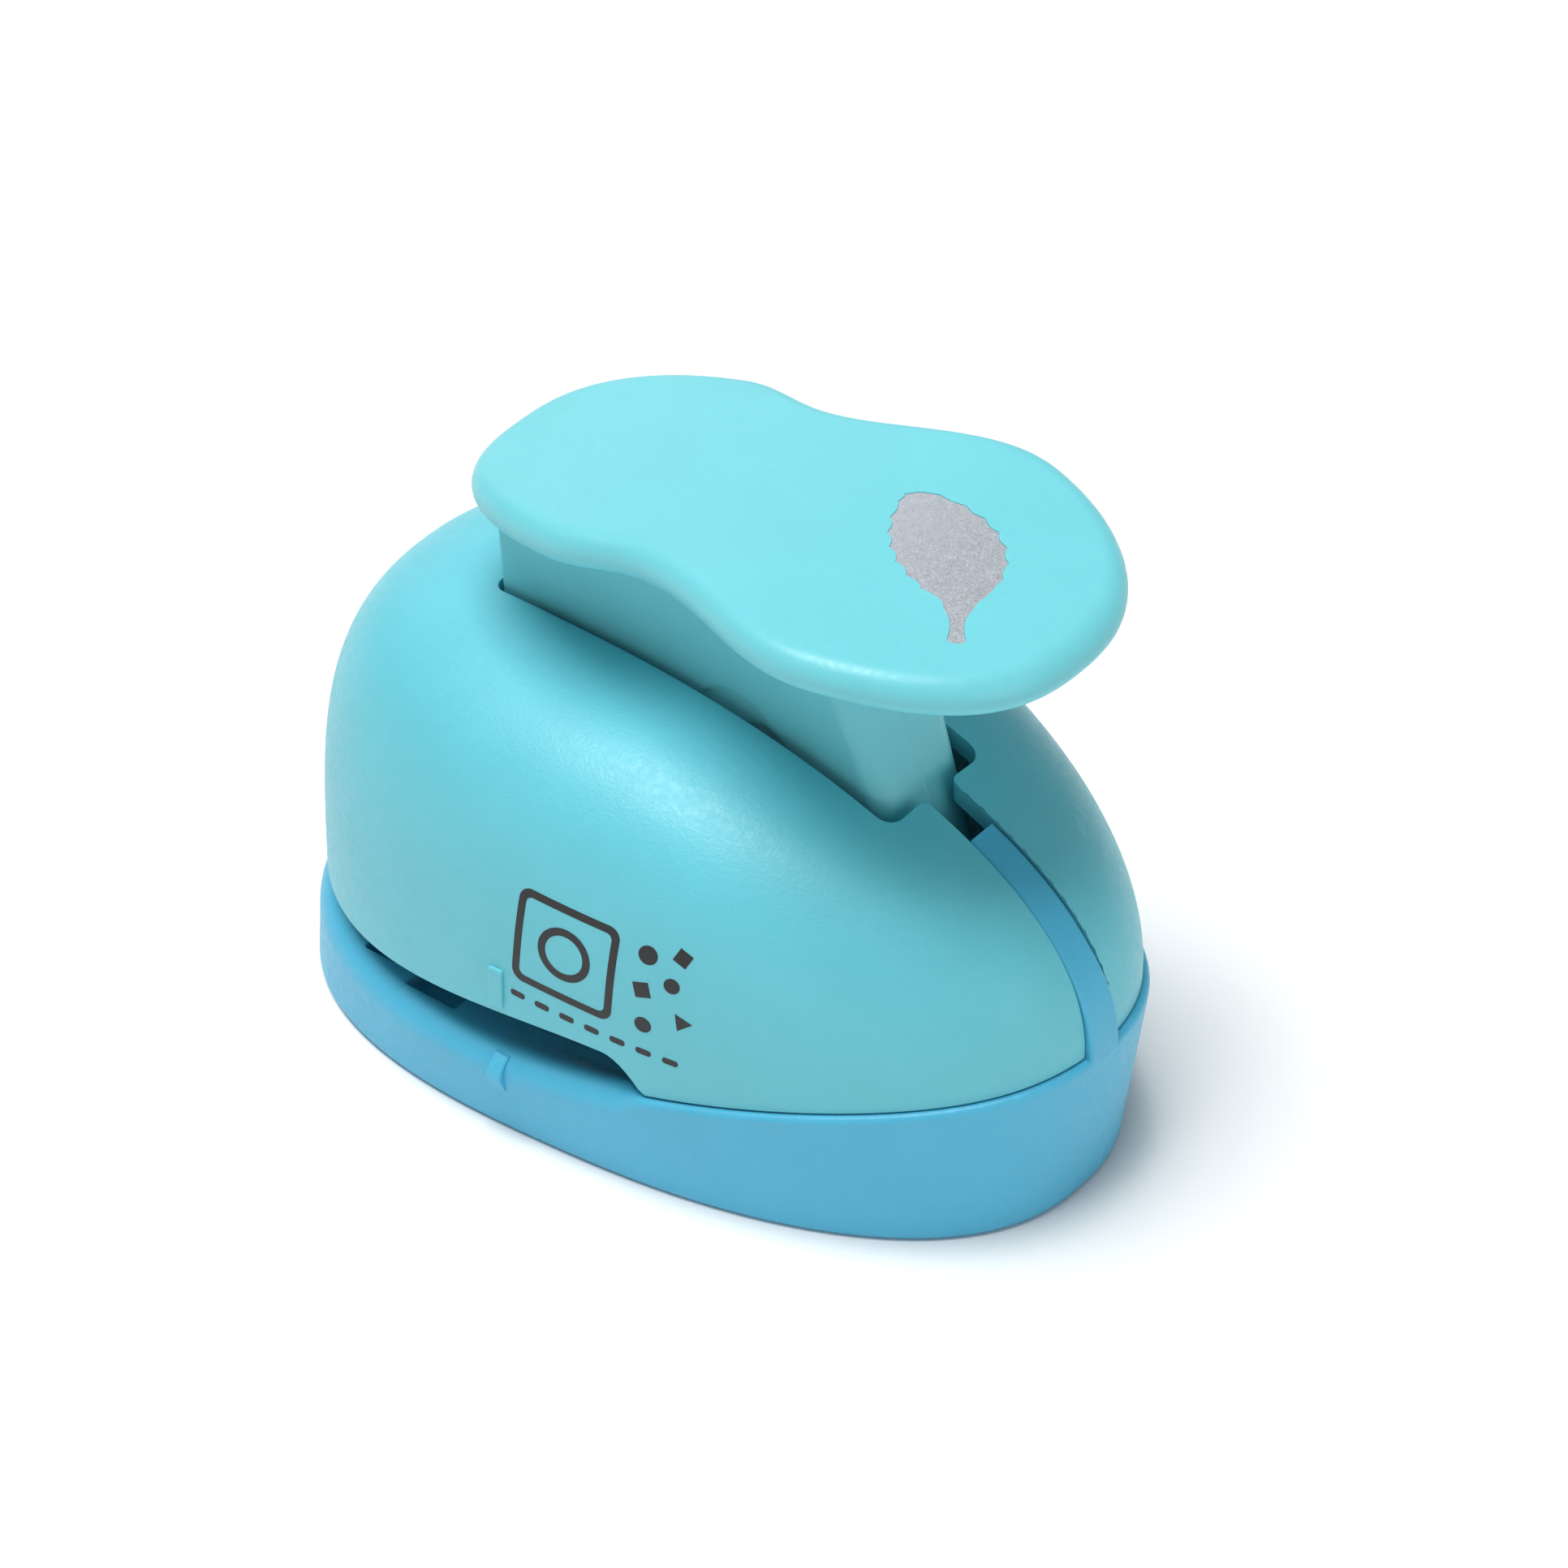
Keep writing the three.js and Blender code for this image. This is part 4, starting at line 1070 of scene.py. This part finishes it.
def metal(colour, rough, stretch, size, depth, spots=0.06):
    """Metal with drawn or ground scratches along the stretched directions."""
    def build(tree, shader):
        where = place_coords(tree, stretch)
        lines = noise(tree, where, size, 4.0, 0.65)
        cloud = noise(tree, place_coords(tree), 5.0, 3.0)
        base = ramp(tree, cloud, 0.3, 0.75, tint(colour, 1 - spots), tint(colour, 1 + spots))
        tree.links.new(base, shader.inputs["Base Color"])
        tree.links.new(spread(tree, lines, 0.3, 0.7, rough - 0.08, rough + 0.1), shader.inputs["Roughness"])
        tree.links.new(add_bump(tree, lines, depth * MM, 0.6), shader.inputs["Normal"])
        shader.inputs["Metallic"].default_value = 1.0
    return build


def foil_finish(tree, shader):
    where = place_coords(tree)
    stretch = place_coords(tree, (1, 1.6, 1))
    crease = noise(tree, where, 0.9, 3.0, 0.7)
    fine = noise(tree, stretch, 0.22, 2.0)
    silver = ramp(tree, crease, 0.3, 0.7, (0.71, 0.76, 0.83), (0.82, 0.87, 0.94))
    tree.links.new(silver, shader.inputs["Base Color"])
    tree.links.new(spread(tree, fine, 0.3, 0.7, 0.3, 0.48), shader.inputs["Roughness"])
    tree.links.new(add_bump(tree, crease, 0.05 * MM, 0.5, add_bump(tree, fine, 0.012 * MM, 0.6)),
                   shader.inputs["Normal"])
    shader.inputs["Metallic"].default_value = 0.85


def ink_finish(tree, shader):
    where = place_coords(tree)
    cover = noise(tree, where, 0.3, 2.0)
    tree.links.new(ramp(tree, cover, 0.2, 0.8, (0.008, 0.008, 0.010), (0.019, 0.020, 0.024)),
                   shader.inputs["Base Color"])
    tree.links.new(spread(tree, cover, 0.3, 0.7, 0.45, 0.62), shader.inputs["Roughness"])
    tree.links.new(add_bump(tree, cover, 0.02 * MM, 0.7), shader.inputs["Normal"])


def floor_finish(tree, shader):
    where = place_coords(tree)
    white = ramp(tree, noise(tree, where, 60.0, 2.0), 0.3, 0.7, (0.95, 0.95, 0.95), (0.97, 0.97, 0.97))
    tree.links.new(white, shader.inputs["Base Color"])
    shader.inputs["Roughness"].default_value = 0.8


COVER_AQUA = (0.136, 0.560, 0.655)
LEVER_AQUA = (0.165, 0.610, 0.680)
BASE_BLUE = (0.078, 0.460, 0.680)

finishes = {
    "cover_aqua": material("cover_aqua", moulded(COVER_AQUA, 0.33, 0.055, 0.40, 0.025)),
    "lever_aqua": material("lever_aqua", moulded(LEVER_AQUA, 0.30, 0.022, 0.38, 0.02)),
    "base_blue": material("base_blue", moulded(BASE_BLUE, 0.36, 0.050, 0.40, 0.03)),
    "white_plastic": material("white_plastic", moulded((0.78, 0.79, 0.77), 0.4, 0.03, 0.42)),
    "silver_foil": material("silver_foil", foil_finish),
    "steel": material("steel", metal((0.52, 0.53, 0.54), 0.30, (1, 12, 12), 0.6, 0.012)),
    "spring_steel": material("spring_steel", metal((0.46, 0.47, 0.49), 0.26, (1, 1, 1), 0.3, 0.006)),
    "blackened_steel": material("blackened_steel", metal((0.10, 0.105, 0.11), 0.42, (1, 1, 1), 0.35, 0.02)),
}


def paint(piece, finish):
    piece.data.materials.clear()
    piece.data.materials.append(finish)
    return piece


# ---- studio ----
WORLD_FILL = 0.24
KEY_POWER, REAR_LEFT_POWER, RIGHT_POWER = 31.0, 2.0, 2.5


def soft_box(name, place, look_at, width, height, energy, colour=(1, 1, 1)):
    data = bpy.data.lights.new(name, "AREA")
    data.shape = "RECTANGLE"
    data.size, data.size_y = width, height
    data.energy = energy
    data.color = colour
    lamp = bpy.data.objects.new(name, data)
    lamp.location = place
    lamp.rotation_euler = (Vector(place) - Vector(look_at)).to_track_quat("Z", "Y").to_euler()
    bpy.context.scene.collection.objects.link(lamp)


def make_studio():
    work = bmesh.new()
    bmesh.ops.create_grid(work, x_segments=8, y_segments=8, size=3.0)
    mesh = bpy.data.meshes.new("floor")
    work.to_mesh(mesh)
    work.free()
    floor = bpy.data.objects.new("floor", mesh)
    bpy.context.scene.collection.objects.link(floor)
    floor.data.materials.append(material("floor", floor_finish))
    world = bpy.data.worlds.new("world")
    bpy.context.scene.world = world
    world.use_nodes = True
    background = world.node_tree.nodes["Background"]
    background.inputs["Color"].default_value = (1, 1, 1, 1)
    background.inputs["Strength"].default_value = WORLD_FILL
    centre = (0, 0, 0.03)
    soft_box("key", (-0.16, -0.28, 1.7), centre, 0.9, 0.9, KEY_POWER)
    soft_box("rear_left", (-1.1, 0.7, 0.5), centre, 0.9, 0.8, REAR_LEFT_POWER)
    soft_box("right", (1.35, -0.1, 0.35), centre, 0.8, 0.6, RIGHT_POWER)
    bpy.context.scene.view_settings.view_transform = "Standard"


# ---- assembly ----
paint(make_cover(), finishes["cover_aqua"])
paint(make_base(), finishes["base_blue"])
lever, foil = make_lever()
paint(lever, finishes["lever_aqua"])
paint(foil, finishes["silver_foil"])
paint(make_print(), material("print_ink", ink_finish))
for hand, side in (("left", 1), ("right", -1)):
    paint(make_spring(hand, DIE_X + side * SPRING_OUT, side * SPRING_OUT), finishes["spring_steel"])
for count, group in ((CASE_SCREWS, "case_screw_"), (DIE_SCREWS, "die_screw_")):
    for i in range(count):
        paint(make_screw(f"{group}{i + 1}"), finishes["blackened_steel"])
ROUNDED = {
    "die_plate": (0.15, "steel", "housing"),
    "spacer_plate": (0.12, "steel", "housing"),
    "guide_plate": (0.15, "steel", "housing"),
    "pivot_pin": (0.3, "steel", "housing"),
    "guide_post_left": (0.25, "steel", "housing"),
    "guide_post_right": (0.25, "steel", "housing"),
    "post_clip_left": (0.08, "blackened_steel", "housing"),
    "post_clip_right": (0.08, "blackened_steel", "housing"),
    "die_rivet_left": (0.1, "steel", "housing"),
    "die_rivet_right": (0.1, "steel", "housing"),
    "leaf_punch": (0.04, "steel", "punch"),
    "punch_holder": (0.3, "white_plastic", "punch"),
    "punch_screw_front": (0.1, "blackened_steel", "punch"),
    "punch_screw_rear": (0.1, "blackened_steel", "punch"),
}
for name, (width, slot_name, body) in ROUNDED.items():
    piece = paint(edge_rounded(name, width), finishes[slot_name])
    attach(piece, body)

make_studio()
